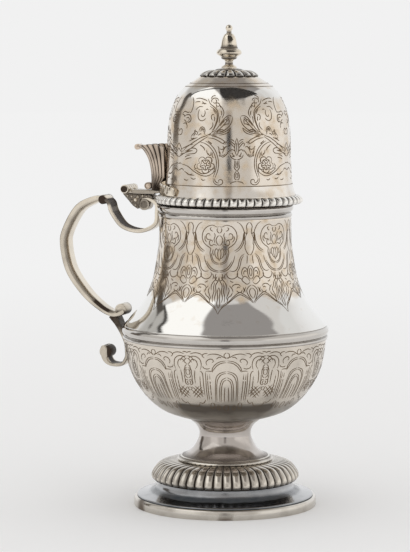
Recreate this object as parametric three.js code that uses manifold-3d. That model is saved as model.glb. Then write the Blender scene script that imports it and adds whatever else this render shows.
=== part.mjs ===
// A silver mustard pot: a baluster body on a spread foot, a double scroll handle, and a domed lid
// that swings on a five-knuckle hinge. Millimetres, +Z up, the handle towards -X.
import * as THREE from "three";
import { mergeVertices } from "three/addons/utils/BufferGeometryUtils.js";
import Module from "manifold-3d";

const wasm = await Module();
wasm.setup();

// Sheet, solder and facets
const wall = 1.2;
const solderGap = 0.25;
const roundSteps = 32;
const smallSteps = 16;

// Foot, from the table up
const footRadius = 36.2;
const footRimHeight = 3.8;
const footRimWidth = 5.2;
const footFlangeRise = 2.6;
const footStepRadius = 26.6;
const footStepHeight = 3.5;
const gadroonRadius = 29.4;
const gadroonHeight = 8;
const footGadroons = 44;
const footLobeDepth = 0.9;
const collarRadius = 18.9;
const collarHeight = 1.8;

// Stem, bowl and girdle
const stemBaseRadius = 17.2;
const stemWaistRadius = 10.2;
const stemTopRadius = 14.6;
const stemHeight = 15;
const bowlRadius = 39.8;
const bowlHeight = 34.6;
const girdleHeight = 5.2;
const girdleBulge = 1.1;

// Neck and mouth
const neckFlare = 0.4;
const neckHeight = 45.7;
const mouthRadius = 26.9;
const mouthHeight = 4.6;
const mouthWidth = 2;
const mouthBead = 0.8;
const neckWaistRadius = mouthRadius - mouthBead;
const mouthBore = mouthRadius - mouthWidth;

// Lid
const lidSeatGap = 0.4;
const lidOffset = 1.5;
const lidOverhang = 2.3;
const lidRimRadius = mouthRadius + lidOverhang;
const lidRimHeight = 3.4;
const lidRimWidth = 2.8;
const lidGadroons = 48;
const lidLobeDepth = 0.6;
const bezelClearance = 0.8;
const bezelDepth = 3;
const domeInset = 4.7;
const domeRadius = lidRimRadius - domeInset;
const domeFlare = 1.8;
const domeHeight = 46.4;
const rosetteRadius = 11.5;
const rosetteHeight = 3.3;
const rosettePetals = 14;

// Finial, its shank and its nut
const finialDiscRadius = 5;
const finialHeight = 16.9;
const shankRadius = 1;
const shankClearance = 0.15;
const nutWidth = 7;
const nutHeight = 2.4;

// Hinge: where its axis lies from the mouth, and its knuckles
const hingeOut = 13.2;
const hingeUp = 5.5;
const knuckleRadius = 1.7;
const knuckleCount = 5;
const hingeWidth = 12;
const knuckleGap = 0.15;
const pinRadius = 0.8;
const pinClearance = 0.05;
const pinHeadRadius = 1.25;
const pinHeadThickness = 0.5;
const leafThickness = 1.5;
const leafWidth = 9;
const bracketWidth = 8;

// Handle
const handleReach = 68.7;
const shoulderOut = 21.9;
const shoulderUp = 0.9;
const scrollDrop = 11.3;
const scrollWidth = 8.6;
const scrollTipWidth = 5;
const scrollThickness = 1.3;
const voluteRadius = 2.1;
const loopWidth = 7.8;
const loopThickness = 3.2;
const loopTipThickness = 2.4;
const loopRollRadius = 2.7;
const tailWidth = 7;
const tailThickness = 1.4;
const tailBudRadius = 2.2;
const tailDrop = 15.1;
const tailReach = 10.2;

// Thumbpiece and the leaf-shaped plate behind it
const thumbHeight = 18;
const thumbSpread = 7.8;
const thumbThrow = 9.8;
const thumbThickness = 1.4;
const thumbFlutes = 9;
const fluteDepth = 0.6;
const thumbRollRadius = 1.3;
const plateHeight = 4.8;
const plateThickness = 0.8;
const plateSpan = THREE.MathUtils.degToRad(118);

// Levels that the heights stack up to
const flangeLevel = footRimHeight + footFlangeRise;
const gadroonLevel = flangeLevel + footStepHeight;
const collarLevel = gadroonLevel + gadroonHeight;
const stemLevel = collarLevel + collarHeight;
const bowlLevel = stemLevel + stemHeight;
const seamLevel = bowlLevel + bowlHeight;
const girdleTop = seamLevel + girdleHeight / 2;
const mouthLevel = seamLevel + neckHeight;
const mouthTop = mouthLevel + mouthHeight;
const lidLevel = mouthTop + lidSeatGap;
const domeLevel = lidLevel + lidRimHeight;
const domeTop = domeLevel + domeHeight;
const finialLevel = domeTop + rosetteHeight;
const hingeR = mouthRadius + hingeOut;
const hingeZ = mouthTop + hingeUp;

// The lid sits a little away from the hinge, so its parts lie that much nearer the axis on that side
const lidSide = (radius) => radius - lidOffset;

// Finishes
const silver = (color, roughness) => () =>
  new THREE.MeshStandardMaterial({ color, roughness, metalness: 1 });
const polished = silver(0xd6d2cb, 0.22);
const engraved = silver(0xc9c1b2, 0.42);
const worn = silver(0xa89c8a, 0.35);

// Profiles are lists of [radius, height]; handle outlines are lists of [distance from the axis, height]
const at = (list) => list.map(([r, z]) => new THREE.Vector2(r, z));

// A smooth line through a few points, cut into equal steps
function smooth(list, steps) {
  const curve = new THREE.SplineCurve(at(list));
  return curve.getPoints(steps).map((p) => [p.x, p.y]);
}

// The inner face of a sheet: the outer line moved in square to itself, with level ends
function innerLine(outer, thickness) {
  return outer.map((point, i) => {
    const before = outer[Math.max(i - 1, 0)];
    const after = outer[Math.min(i + 1, outer.length - 1)];
    const run = new THREE.Vector2(after[0] - before[0], after[1] - before[1]).normalize();
    if (i === 0 || i === outer.length - 1) return [point[0] - thickness / Math.max(run.y, 0.5), point[1]];
    return [point[0] - thickness * run.y, point[1] + thickness * run.x];
  });
}

// A wall of sheet between an outer line and its inner line, which needs fewer points
function sheetProfile(outerList, outerSteps, innerSteps) {
  const outer = smooth(outerList, outerSteps);
  const inner = innerLine(smooth(outerList, innerSteps), wall);
  return [...outer, ...inner.reverse()];
}

// A closed profile turned about the Z axis
function turn(profile, steps = roundSteps) {
  const line = at([...profile, profile[0]]);
  const geometry = new THREE.LatheGeometry(line, steps);
  return geometry.rotateX(Math.PI / 2);
}

// A turned profile that ends on the axis
function turnSolid(profile, steps = roundSteps) {
  return new THREE.LatheGeometry(at(profile), steps).rotateX(Math.PI / 2);
}

// A turned ring whose points sink between lobes. Each point is [radius, height, sink], and the lobes
// lean by the given share of a lobe from the first point to the last
function turnLobed(profile, lobes, depth, lean = 0) {
  const samples = 3;
  const line = [...profile, profile[0]];
  const columns = lobes * samples;
  const geometry = new THREE.LatheGeometry(at(line), columns);
  const position = geometry.attributes.position;
  for (let column = 0; column <= columns; column += 1) {
    const swell = Math.sin((Math.PI * ((column % samples) + 0.5)) / samples);
    line.forEach(([radius, height, sink], j) => {
      const share = (j % profile.length) / (profile.length - 1);
      const angle = (2 * Math.PI * (column / samples + lean * share)) / lobes;
      const r = radius - depth * sink * (1 - swell) * 2;
      position.setXYZ(column * line.length + j, r * Math.sin(angle), height, r * Math.cos(angle));
    });
  }
  return geometry.rotateX(Math.PI / 2);
}

// A body through a row of rings with the same number of points, closed by the outline at both ends
function loft(rings, outline) {
  const count = outline.length;
  const points = rings.flat();
  const faces = [];
  for (let i = 0; i < rings.length - 1; i += 1) {
    for (let k = 0; k < count; k += 1) {
      const a = i * count + k;
      const b = i * count + ((k + 1) % count);
      faces.push(a, b, b + count, a, b + count, a + count);
    }
  }
  const last = (rings.length - 1) * count;
  const clockwise = THREE.ShapeUtils.isClockWise(outline);
  for (const [a, m, n] of THREE.ShapeUtils.triangulateShape(outline, [])) {
    const [b, c] = clockwise ? [n, m] : [m, n];
    faces.push(c, b, a, last + a, last + b, last + c);
  }
  const geometry = new THREE.BufferGeometry().setFromPoints(points);
  geometry.setIndex(faces);
  return facingOut(geometry);
}

// Turns every face over where the body came out inside out
function facingOut(geometry) {
  const { position } = geometry.attributes;
  const index = geometry.index.array;
  const corners = [0, 1, 2].map(() => new THREE.Vector3());
  let volume = 0;
  for (let i = 0; i < index.length; i += 3) {
    corners.forEach((corner, k) => corner.fromBufferAttribute(position, index[i + k]));
    volume += corners[0].dot(corners[1].clone().cross(corners[2]));
  }
  if (volume < 0) geometry.setIndex(Array.from(index).reverse());
  return geometry;
}

// A strap with a rounded section, bent along a line in the plane of the handle. Its half thickness
// and half width follow the share of the way along it, and the ends may be rolled over
function strap(path, steps, halfThickness, halfWidth, rollFirst, rollLast) {
  const sides = 8;
  const squareness = 0.6;
  const curve = new THREE.SplineCurve(at(path));
  const round = (value) => Math.sign(value) * Math.abs(value) ** squareness;
  const outline = [];
  for (let k = 0; k < sides; k += 1) {
    const angle = (2 * Math.PI * (k + 0.5)) / sides;
    outline.push(new THREE.Vector2(round(Math.cos(angle)), round(Math.sin(angle))));
  }
  const ring = (t, shift, shrink) => {
    const centre = curve.getPointAt(t);
    const along = curve.getTangentAt(t);
    const thick = halfThickness(t) * shrink;
    return outline.map(({ x, y }) => {
      const r = centre.x + along.x * shift - along.y * thick * x;
      const z = centre.y + along.y * shift + along.x * thick * x;
      return new THREE.Vector3(-r, halfWidth(t) * y, z);
    });
  };
  const rolls = [75, 50, 25].map(THREE.MathUtils.degToRad);
  const rings = [];
  if (rollFirst) for (const a of rolls) rings.push(ring(0, -halfThickness(0) * Math.sin(a), Math.cos(a)));
  for (let i = 0; i <= steps; i += 1) rings.push(ring(i / steps, 0, 1));
  rolls.reverse();
  if (rollLast) for (const a of rolls) rings.push(ring(1, halfThickness(1) * Math.sin(a), Math.cos(a)));
  return loft(rings, outline);
}

// An outline in the plane of the handle, given a width across it
function block(list, width) {
  const shape = new THREE.Shape(at(list.map(([r, z]) => [-r, z])));
  const geometry = new THREE.ExtrudeGeometry(shape, { depth: width, bevelEnabled: false });
  return geometry.translate(0, 0, -width / 2).rotateX(Math.PI / 2);
}

// A round bar across the plane of the handle
function bar(r, z, radius, width, centreY = 0) {
  return new THREE.CylinderGeometry(radius, radius, width, smallSteps).translate(-r, centreY, z);
}

// Joins and cuts
function solid(geometry) {
  const bare = geometry.clone();
  bare.deleteAttribute("normal");
  bare.deleteAttribute("uv");
  const merged = mergeVertices(bare, 1e-5);
  const vertProperties = new Float32Array(merged.attributes.position.array);
  const triVerts = new Uint32Array(merged.index.array);
  return new wasm.Manifold(new wasm.Mesh({ numProp: 3, vertProperties, triVerts }));
}

function surface(manifold) {
  const mesh = manifold.getMesh();
  const geometry = new THREE.BufferGeometry();
  geometry.setAttribute("position", new THREE.BufferAttribute(mesh.vertProperties, 3));
  geometry.setIndex(new THREE.BufferAttribute(mesh.triVerts, 1));
  return geometry;
}

const joined = (geometries) => geometries.map(solid).reduce((sum, piece) => sum.add(piece));

// Foot: a plain rim, a sheet that steps up inside it, a gadrooned knop and a bead under the stem
function footRim() {
  const inner = footRadius - footRimWidth;
  return turn([
    [inner, 0],
    [footRadius, 0],
    [footRadius, footRimHeight - 0.5],
    [footRadius - 0.6, footRimHeight],
    [inner, footRimHeight],
  ]);
}

const flangeEdge = footRadius - 1.9;

function footBase() {
  const seat = footRadius - footRimWidth + 0.4;
  const inner = footStepRadius - wall;
  return turn([
    [seat, footRimHeight],
    [flangeEdge, footRimHeight],
    [flangeEdge, footRimHeight + 0.7],
    [footStepRadius + 0.8, flangeLevel],
    [footStepRadius, flangeLevel + 0.8],
    [footStepRadius, gadroonLevel],
    [inner, gadroonLevel],
    [inner, flangeLevel],
  ]);
}

function footGadroonBand() {
  const inner = footStepRadius - wall;
  const top = collarRadius + 0.4;
  const up = (share) => gadroonLevel + gadroonHeight * share;
  const out = (share) => top + (gadroonRadius - top) * share;
  return turnLobed(
    [
      [inner, gadroonLevel, 0],
      [out(0.9), gadroonLevel, 0.6],
      [gadroonRadius, up(0.22), 1],
      [out(0.9), up(0.54), 1],
      [out(0.6), up(0.86), 0.8],
      [top, collarLevel, 0],
      [collarRadius - 3.4, collarLevel, 0],
    ],
    footGadroons,
    footLobeDepth,
  );
}

function footCollar() {
  const bulge = collarHeight / 4;
  return turn([
    [collarRadius - 3.4, collarLevel],
    [collarRadius - bulge, collarLevel],
    [collarRadius, collarLevel + collarHeight / 2],
    [collarRadius - bulge, stemLevel],
    [collarRadius - 3.4, stemLevel],
  ]);
}

function stem() {
  const up = (share) => stemLevel + stemHeight * share;
  const line = [
    [stemBaseRadius, stemLevel],
    [stemBaseRadius * 0.86, up(0.08)],
    [stemWaistRadius + 2, up(0.24)],
    [stemWaistRadius, up(0.55)],
    [stemWaistRadius + 1.1, up(0.8)],
    [stemTopRadius, bowlLevel],
  ];
  return turn(sheetProfile(line, 8, 4), 24);
}

// Body: the bowl and the neck meet edge to edge under the girdle
const bowlLine = [
  [stemTopRadius, bowlLevel],
  [bowlRadius * 0.62, bowlLevel + bowlHeight * 0.1],
  [bowlRadius * 0.81, bowlLevel + bowlHeight * 0.29],
  [bowlRadius * 0.95, bowlLevel + bowlHeight * 0.57],
  [bowlRadius, bowlLevel + bowlHeight * 0.88],
  [bowlRadius, seamLevel],
];

function bowl() {
  const outer = smooth(bowlLine, 10);
  const inner = innerLine(smooth(bowlLine, 5), wall).slice(1);
  const floor = bowlLevel + wall;
  return turnSolid([[0, bowlLevel], ...outer, ...inner.reverse(), [stemTopRadius - 2, floor], [0, floor]]);
}

function girdleMoulding() {
  const inner = bowlRadius + solderGap;
  const outer = bowlRadius + girdleBulge;
  const low = seamLevel - girdleHeight / 2;
  const up = (share) => low + girdleHeight * share;
  return turn([
    [inner, low],
    [outer - 0.6, low],
    [outer - 0.5, up(0.16)],
    [outer - 0.2, up(0.2)],
    [outer, up(0.55)],
    [outer - 0.2, up(0.88)],
    [inner, girdleTop],
  ]);
}

const neckRise = mouthLevel - girdleTop;
const neckFall = bowlRadius + neckFlare - neckWaistRadius;
const neckLine = [
  [1, 0],
  [0.84, 0.06],
  [0.44, 0.22],
  [0.2, 0.4],
  [0.06, 0.63],
  [0, 0.8],
  [0, 1],
].map(([fall, rise]) => [neckWaistRadius + neckFall * fall, girdleTop + neckRise * rise]);

const neckSteps = 9;

function neck() {
  const outer = smooth(neckLine, neckSteps);
  const inner = innerLine(smooth(neckLine, 5), wall).slice(1);
  const lip = bowlRadius - wall;
  return turn([
    [bowlRadius, seamLevel],
    [bowlRadius, girdleTop],
    ...outer,
    ...inner.reverse(),
    [lip, girdleTop],
    [lip, seamLevel],
  ]);
}

function mouthMoulding() {
  const up = (share) => mouthLevel + mouthHeight * share;
  return turn([
    [mouthBore, mouthLevel],
    [neckWaistRadius, mouthLevel],
    [mouthRadius - 0.6, up(0.08)],
    [mouthRadius - 0.6, up(0.24)],
    [mouthRadius - 1, up(0.32)],
    [mouthRadius - 0.5, up(0.52)],
    [mouthRadius, up(0.68)],
    [mouthRadius, up(0.88)],
    [mouthRadius - 0.5, mouthTop],
    [mouthBore, mouthTop],
  ]);
}

// The room that the body takes, grown by the solder gap, to which the pieces soldered on it are cut
function bodyRoom() {
  const grow = ([r, z]) => [r + solderGap, z];
  const girdle = bowlRadius + girdleBulge + solderGap;
  return solid(
    turnSolid([
      [0, bowlLevel],
      ...smooth(bowlLine, 10).slice(0, -1).map(grow),
      [bowlRadius + solderGap, seamLevel - girdleHeight / 2 - solderGap],
      [girdle, seamLevel - girdleHeight / 2 - solderGap],
      [girdle, girdleTop + solderGap],
      ...smooth(neckLine, neckSteps).slice(1, -1).map(grow),
      [neckWaistRadius + solderGap, mouthLevel - solderGap],
      [mouthRadius + solderGap, mouthLevel - solderGap],
      [mouthRadius + solderGap, mouthTop + solderGap],
      [0, mouthTop + solderGap],
    ]),
  );
}

const body = bodyRoom();

// Handle: the upper scroll rises from its volute, presses on the neck and swings out to the loop
const volute = [mouthRadius + voluteRadius * 2.8, mouthTop - voluteRadius * 0.38];
const scrollIn = mouthRadius + solderGap + scrollThickness / 2;
const loopStart = [mouthRadius + shoulderOut, mouthTop + shoulderUp];

function handleUpperScroll() {
  const [vr, vz] = volute;
  const turnRadius = voluteRadius + scrollThickness / 2;
  const down = (share) => mouthTop - scrollDrop * share;
  const path = [
    [vr + turnRadius * 0.9, vz + turnRadius * 0.22],
    [vr, vz + turnRadius],
    [scrollIn + turnRadius * 0.18, vz + turnRadius * 0.25],
    [scrollIn, down(0.35)],
    [scrollIn + scrollDrop * 0.07, down(0.76)],
    [vr + scrollDrop * 0.16, down(1)],
    [vr + scrollDrop * 0.8, down(0.85)],
    [loopStart[0] - scrollDrop * 0.23, down(0.37)],
    [loopStart[0] - scrollDrop * 0.115, down(0.05)],
    loopStart,
  ];
  const half = (t) => (scrollThickness / 2) * (1 + 0.15 * Math.sin(Math.PI * t) ** 2);
  const { lerp, smoothstep } = THREE.MathUtils;
  const across = (t) => lerp(scrollTipWidth, scrollWidth, smoothstep(t, 0.3, 0.8)) / 2;
  const band = strap(path, 28, half, across, false, false);
  const drum = bar(vr, vz, voluteRadius, scrollTipWidth);
  return surface(joined([band, drum]).subtract(body));
}

// The loop swings out to its reach and comes back to a roll above the girdle
const rollCentre = [bowlRadius + girdleBulge + loopRollRadius * 0.63, girdleTop + loopRollRadius * 1.48];

function loopStrap(grown) {
  const outer = handleReach - loopThickness / 2;
  const [r0, z0] = loopStart;
  const [r1, z1] = rollCentre;
  const fall = z0 - z1;
  const span = outer - r1;
  const path = [
    [r0 + span * 0.05, z0 + span * 0.012],
    [r0 + span * 0.2, z0 + span * 0.004],
    [outer - span * 0.26, z1 + fall * 0.92],
    [outer - span * 0.04, z1 + fall * 0.72],
    [outer, z1 + fall * 0.58],
    [outer - span * 0.1, z1 + fall * 0.36],
    [outer - span * 0.36, z1 + fall * 0.16],
    [r1 + span * 0.37, z1 + loopRollRadius * 0.52],
    [r1 + span * 0.18, z1 - loopRollRadius * 0.37],
    [r1 + span * 0.065, z1 - loopRollRadius * 0.33],
    [r1, z1],
  ];
  const { lerp, smoothstep } = THREE.MathUtils;
  const half = (t) => {
    const bar = lerp(loopTipThickness, loopThickness, smoothstep(t, 0, 0.2) - smoothstep(t, 0.5, 0.8)) / 2;
    return lerp(bar, loopRollRadius, smoothstep(t, 0.9, 1)) + grown;
  };
  return solid(strap(path, 24, half, () => loopWidth / 2 + grown, false, true));
}

const handleLoop = () => surface(loopStrap(0).subtract(body));

// The tail leaves the underside of the loop, hugs the bowl and swings out to a bud
function handleTail() {
  const [r1, z1] = rollCentre;
  const girdle = bowlRadius + girdleBulge + solderGap;
  const hug = tailThickness / 2 + solderGap;
  const low = seamLevel - tailDrop;
  const out = (share) => bowlRadius + tailReach * share;
  const up = (share) => low + tailDrop * share;
  const path = [
    [girdle + tailReach * 0.53, z1 - loopRollRadius * 0.6],
    [girdle + tailReach * 0.33, girdleTop - girdleHeight * 0.12],
    [girdle + tailReach * 0.1, seamLevel - girdleHeight / 2],
    [bowlRadius + hug, up(0.6)],
    [bowlRadius + hug * 0.6, up(0.36)],
    [bowlRadius + hug * 0.7, up(0.22)],
    [bowlRadius + hug * 2.3, up(0.05)],
    [out(0.44), low],
    [out(0.77), up(0.03)],
    [out(0.96), up(0.17)],
    [out(1), up(0.41)],
  ];
  const half = (t) => {
    const root = 1 - THREE.MathUtils.smoothstep(t, 0, 0.22);
    const bud = THREE.MathUtils.smoothstep(t, 0.45, 1);
    return tailThickness * (0.5 + 0.65 * root) + (tailBudRadius - tailThickness / 2) * bud;
  };
  const band = solid(strap(path, 24, half, () => tailWidth / 2, false, true));
  return surface(band.subtract(loopStrap(solderGap)).subtract(body));
}

// Hinge: fixed and moving knuckles take turns along one pin
const knuckleLength = hingeWidth / knuckleCount;
const knuckleY = (i) => (i - (knuckleCount - 1) / 2) * knuckleLength;
const fixedKnuckles = [0, 2, 4];
const movingKnuckles = [1, 3];

function knuckles(list) {
  return list.map((i) => bar(hingeR, hingeZ, knuckleRadius, knuckleLength - knuckleGap, knuckleY(i)));
}

function pinBore(clearance) {
  return solid(bar(hingeR, hingeZ, pinRadius + clearance, hingeWidth * 2));
}

function hingeBracket() {
  const [vr, vz] = volute;
  const outline = [
    [hingeR + knuckleRadius * 0.7, hingeZ - knuckleRadius * 0.35],
    [hingeR + knuckleRadius * 0.9, hingeZ - knuckleRadius * 1.2],
    [vr + voluteRadius * 2.2, vz - voluteRadius * 0.2],
    [vr + voluteRadius * 1.35, vz - voluteRadius * 0.75],
    [vr + voluteRadius * 1.05, vz + voluteRadius * 1.15],
    [hingeR - knuckleRadius * 2, hingeZ - knuckleRadius * 1.8],
    [hingeR - knuckleRadius * 0.6, hingeZ - knuckleRadius * 1.2],
  ];
  const swept = knuckleRadius + solderGap;
  const seat = voluteRadius + scrollThickness * 1.3 + solderGap;
  const rooms = movingKnuckles.map((i) =>
    solid(bar(hingeR, hingeZ, swept, knuckleLength + knuckleGap, knuckleY(i))),
  );
  let bracket = joined([block(outline, bracketWidth), ...knuckles(fixedKnuckles)]);
  for (const room of rooms) bracket = bracket.subtract(room);
  bracket = bracket.subtract(solid(bar(vr, vz, seat, hingeWidth * 2)));
  return surface(bracket.subtract(pinBore(pinClearance)));
}

function hingePin() {
  const end = hingeWidth / 2 + knuckleGap;
  const profile = [
    [0, -end - pinHeadThickness],
    [pinHeadRadius * 0.7, -end - pinHeadThickness],
    [pinHeadRadius, -end - pinHeadThickness / 2],
    [pinHeadRadius, -end],
    [pinRadius, -end],
    [pinRadius, end],
    [pinHeadRadius, end],
    [pinHeadRadius, end + pinHeadThickness / 2],
    [pinHeadRadius * 0.7, end + pinHeadThickness],
    [0, end + pinHeadThickness],
  ];
  return turnSolid(profile, smallSteps).rotateX(-Math.PI / 2).translate(-hingeR, 0, hingeZ);
}

// Lid: a bezel ring that drops into the mouth, a gadrooned wire round it and the dome on top
const wireInner = lidRimRadius - lidRimWidth;
const bezelOuter = mouthBore - lidOffset - bezelClearance;
const bezelInner = bezelOuter - wall;

function lidBezel() {
  return turn([
    [bezelInner, lidLevel - bezelDepth],
    [bezelOuter - 0.3, lidLevel - bezelDepth],
    [bezelOuter, lidLevel],
    [wireInner - solderGap, lidLevel],
    [wireInner - solderGap, domeLevel],
    [domeRadius - wall, domeLevel],
    [bezelInner, lidLevel + wall],
  ]);
}

function lidRim() {
  const up = (share) => lidLevel + lidRimHeight * share;
  return turnLobed(
    [
      [wireInner, lidLevel, 0],
      [lidRimRadius - 0.8, up(0.04), 0.5],
      [lidRimRadius, up(0.4), 1],
      [lidRimRadius - 0.7, up(0.8), 1],
      [wireInner + 0.6, domeLevel, 0],
    ],
    lidGadroons,
    lidLobeDepth,
    1.1,
  );
}

// The dome flares at its foot, runs almost upright and closes in a low crown with a hole for the shank
const crownRadius = rosetteRadius + 1;
const shankHole = shankRadius + shankClearance;

function lidDome() {
  const up = (share) => domeLevel + domeHeight * share;
  const line = [
    [domeRadius + domeFlare, domeLevel],
    [domeRadius + 0.6, up(0.09)],
    [domeRadius, up(0.24)],
    [domeRadius * 0.985, up(0.5)],
    [domeRadius * 0.955, up(0.66)],
    [domeRadius * 0.88, up(0.78)],
    [domeRadius * 0.76, up(0.89)],
    [crownRadius, up(0.985)],
  ];
  const outer = smooth(line, 10);
  const inner = innerLine(smooth(line, 5), wall).slice(1, -1);
  return turn([
    ...outer,
    [crownRadius - 1, domeTop],
    [shankHole, domeTop],
    [shankHole, domeTop - wall],
    [crownRadius - 2, domeTop - wall],
    ...inner.reverse(),
    [domeRadius - wall, domeLevel],
  ]);
}

function lidRosette() {
  const up = (share) => domeTop + rosetteHeight * share;
  return turnLobed(
    [
      [shankHole, domeTop, 0],
      [rosetteRadius - 0.6, domeTop, 1],
      [rosetteRadius, up(0.16), 1],
      [rosetteRadius * 0.8, up(0.5), 0.6],
      [rosetteRadius * 0.42, up(0.94), 0.1],
      [shankHole, finialLevel, 0],
    ],
    rosettePetals,
    0.7,
  );
}

// Finial: a flange, a short neck, a flat disc, a bell and a ball, on a shank through the lid
function finial() {
  const up = (share) => finialLevel + finialHeight * share;
  const wide = (share) => finialDiscRadius * share;
  const shankEnd = domeTop - wall - nutHeight - 1.2;
  const ball = new THREE.Path().absarc(0, up(0.917), finialHeight * 0.083, -0.9, Math.PI / 2);
  const ballPoints = ball.getPoints(4).map((p) => [Math.max(p.x, 0), p.y]);
  return turnSolid(
    [
      [0, shankEnd],
      [shankRadius, shankEnd],
      [shankRadius, finialLevel],
      [wide(0.61), finialLevel],
      [wide(0.3), up(0.1)],
      [wide(0.61), up(0.25)],
      [wide(1), up(0.33)],
      [wide(0.96), up(0.38)],
      [wide(0.66), up(0.46)],
      [wide(0.62), up(0.54)],
      [wide(0.48), up(0.7)],
      [wide(0.2), up(0.79)],
      [wide(0.18), up(0.84)],
      ...ballPoints,
    ],
    smallSteps,
  );
}

function finialNut() {
  const corner = nutWidth / 2 / Math.cos(Math.PI / 6);
  const shape = new THREE.Shape();
  for (let k = 0; k < 6; k += 1) {
    const angle = (k * Math.PI) / 3;
    const go = k === 0 ? "moveTo" : "lineTo";
    shape[go](corner * Math.cos(angle), corner * Math.sin(angle));
  }
  shape.closePath();
  shape.holes.push(new THREE.Path().absarc(0, 0, shankHole, 0, 2 * Math.PI, true));
  const options = { depth: nutHeight, bevelEnabled: false, curveSegments: 10 };
  const geometry = new THREE.ExtrudeGeometry(shape, options);
  return geometry.translate(0, 0, domeTop - wall - nutHeight);
}

// The moving leaf runs from its knuckles over the volute and onto the top of the lid's rim
const leafTop = domeLevel + solderGap + leafThickness * 0.73;
const plateOuter = domeRadius + domeFlare + solderGap + plateThickness;

function hingeLeaf() {
  const under = leafTop - leafThickness;
  const rimEdge = lidSide(lidRimRadius) + solderGap;
  const outline = [
    [hingeR, hingeZ - knuckleRadius],
    [hingeR + knuckleRadius * 0.5, hingeZ - knuckleRadius * 0.7],
    [hingeR + knuckleRadius * 0.5, hingeZ],
    [hingeR - knuckleRadius, hingeZ + knuckleRadius * 0.12],
    [hingeR - knuckleRadius * 2.4, leafTop],
    [lidSide(plateOuter) + solderGap, leafTop],
    [lidSide(plateOuter) + solderGap, domeLevel + solderGap],
    [rimEdge, domeLevel + solderGap],
    [rimEdge, under],
    [hingeR - knuckleRadius * 3.5, under],
  ];
  const plate = solid(block(outline, leafWidth));
  const rooms = fixedKnuckles.map((i) =>
    solid(bar(hingeR, hingeZ, knuckleRadius + solderGap, knuckleLength + knuckleGap, knuckleY(i))),
  );
  let leaf = knuckles(movingKnuckles).map(solid).reduce((sum, piece) => sum.add(piece), plate);
  for (const room of rooms) leaf = leaf.subtract(room);
  return surface(leaf.subtract(pinBore(pinClearance)));
}

// The leaf-shaped plate wraps the foot of the dome behind the thumbpiece, tallest at its middle
function hingePlate() {
  const steps = 14;
  const inner = domeRadius + domeFlare + solderGap;
  const low = domeLevel + solderGap;
  const rings = [];
  for (let i = 0; i <= steps; i += 1) {
    const side = (2 * i) / steps - 1;
    const angle = Math.PI + (side * plateSpan) / 2;
    const height = plateHeight * (0.45 + 0.55 * Math.sqrt(1 - 0.9 * side ** 2));
    const corner = (r, z) => new THREE.Vector3(r * Math.cos(angle) + lidOffset, r * Math.sin(angle), z);
    rings.push([
      corner(inner, low),
      corner(plateOuter, low),
      corner(plateOuter, low + height - 0.4),
      corner(inner, low + height),
    ]);
  }
  return loft(rings, at([[0, 0], [1, 0], [1, 0.9], [0, 1]]));
}

// The thumbpiece is a fluted half-round shell that stands on the leaf. Its two edges follow the plate
// and the dome, its hollow side faces them, and its crest is thrown out over the handle
function thumbpiece() {
  const levels = 7;
  const across = thumbFlutes * 2;
  const footZ = leafTop + solderGap;
  const clear = lidSide(plateOuter) + 1.2;
  const crest = [
    [clear + thumbThrow * 0.265, 0],
    [clear + thumbThrow * 0.295, 0.35],
    [clear + thumbThrow * 0.41, 0.65],
    [clear + thumbThrow * 0.655, 0.87],
    [clear + thumbThrow, 1],
  ];
  const crestLine = new THREE.SplineCurve(at(crest));
  const { lerp, smoothstep } = THREE.MathUtils;
  const section = (share, inset, fluted) => {
    const { x: crestR, y: crestUp } = crestLine.getPointAt(share);
    const spread = thumbSpread * (0.8 + 0.2 * Math.sqrt(share));
    const hug = lerp(plateOuter + solderGap, domeRadius + solderGap * 4, smoothstep(share, 0.2, 0.45));
    const row = [];
    for (let k = 0; k <= across; k += 1) {
      const angle = Math.PI * (k / across - 0.5);
      const flute = fluted && k % 2 === 1 ? fluteDepth : 0;
      const y = (spread - inset + flute) * Math.sin(angle);
      const reach = (crestR - lidSide(hug) - inset + flute) * Math.cos(angle);
      const edgeUp = share + (crestUp - share) * Math.cos(angle);
      const r = lidSide(Math.sqrt(hug ** 2 - y ** 2)) + reach;
      row.push(new THREE.Vector3(-r, y, footZ + thumbHeight * edgeUp));
    }
    return row;
  };
  const rings = [];
  for (let i = 0; i <= levels; i += 1) {
    const share = i / levels;
    rings.push([...section(share, 0, true), ...section(share, thumbThickness, false).reverse()]);
  }
  const outline = rings[0].map((p) => new THREE.Vector2(p.x, p.y));
  const shell = loft(rings, outline);
  const rollOut = clear + thumbThrow * 0.265 + thumbRollRadius;
  const roll = bar(rollOut, footZ + thumbRollRadius, thumbRollRadius, thumbSpread * 0.7);
  return surface(joined([shell, roll]));
}

// Names, shapes and finishes
const potParts = [
  ["foot_rim", footRim, polished],
  ["foot_base", footBase, polished],
  ["foot_gadroon_band", footGadroonBand, polished],
  ["foot_collar", footCollar, polished],
  ["stem", stem, polished],
  ["bowl", bowl, engraved],
  ["girdle_moulding", girdleMoulding, polished],
  ["neck", neck, engraved],
  ["mouth_moulding", mouthMoulding, polished],
  ["handle_upper_scroll", handleUpperScroll, worn],
  ["handle_loop", handleLoop, worn],
  ["handle_tail", handleTail, worn],
  ["hinge_bracket", hingeBracket, worn],
  ["hinge_pin", hingePin, worn],
];

const lidTurnedParts = [
  ["lid_bezel", lidBezel, polished],
  ["lid_rim", lidRim, polished],
  ["lid_dome", lidDome, engraved],
  ["lid_rosette", lidRosette, engraved],
  ["finial", finial, polished],
  ["finial_nut", finialNut, worn],
];

const lidHingeParts = [
  ["hinge_leaf", hingeLeaf, worn],
  ["hinge_plate", hingePlate, polished],
  ["thumbpiece", thumbpiece, worn],
];

function assemble(parts) {
  const group = new THREE.Group();
  for (const [name, shape, finish] of parts) {
    const mesh = new THREE.Mesh(shape(), finish());
    mesh.name = name;
    group.add(mesh);
  }
  return group;
}

const lidTurned = assemble(lidTurnedParts);
lidTurned.position.x = lidOffset;

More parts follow.
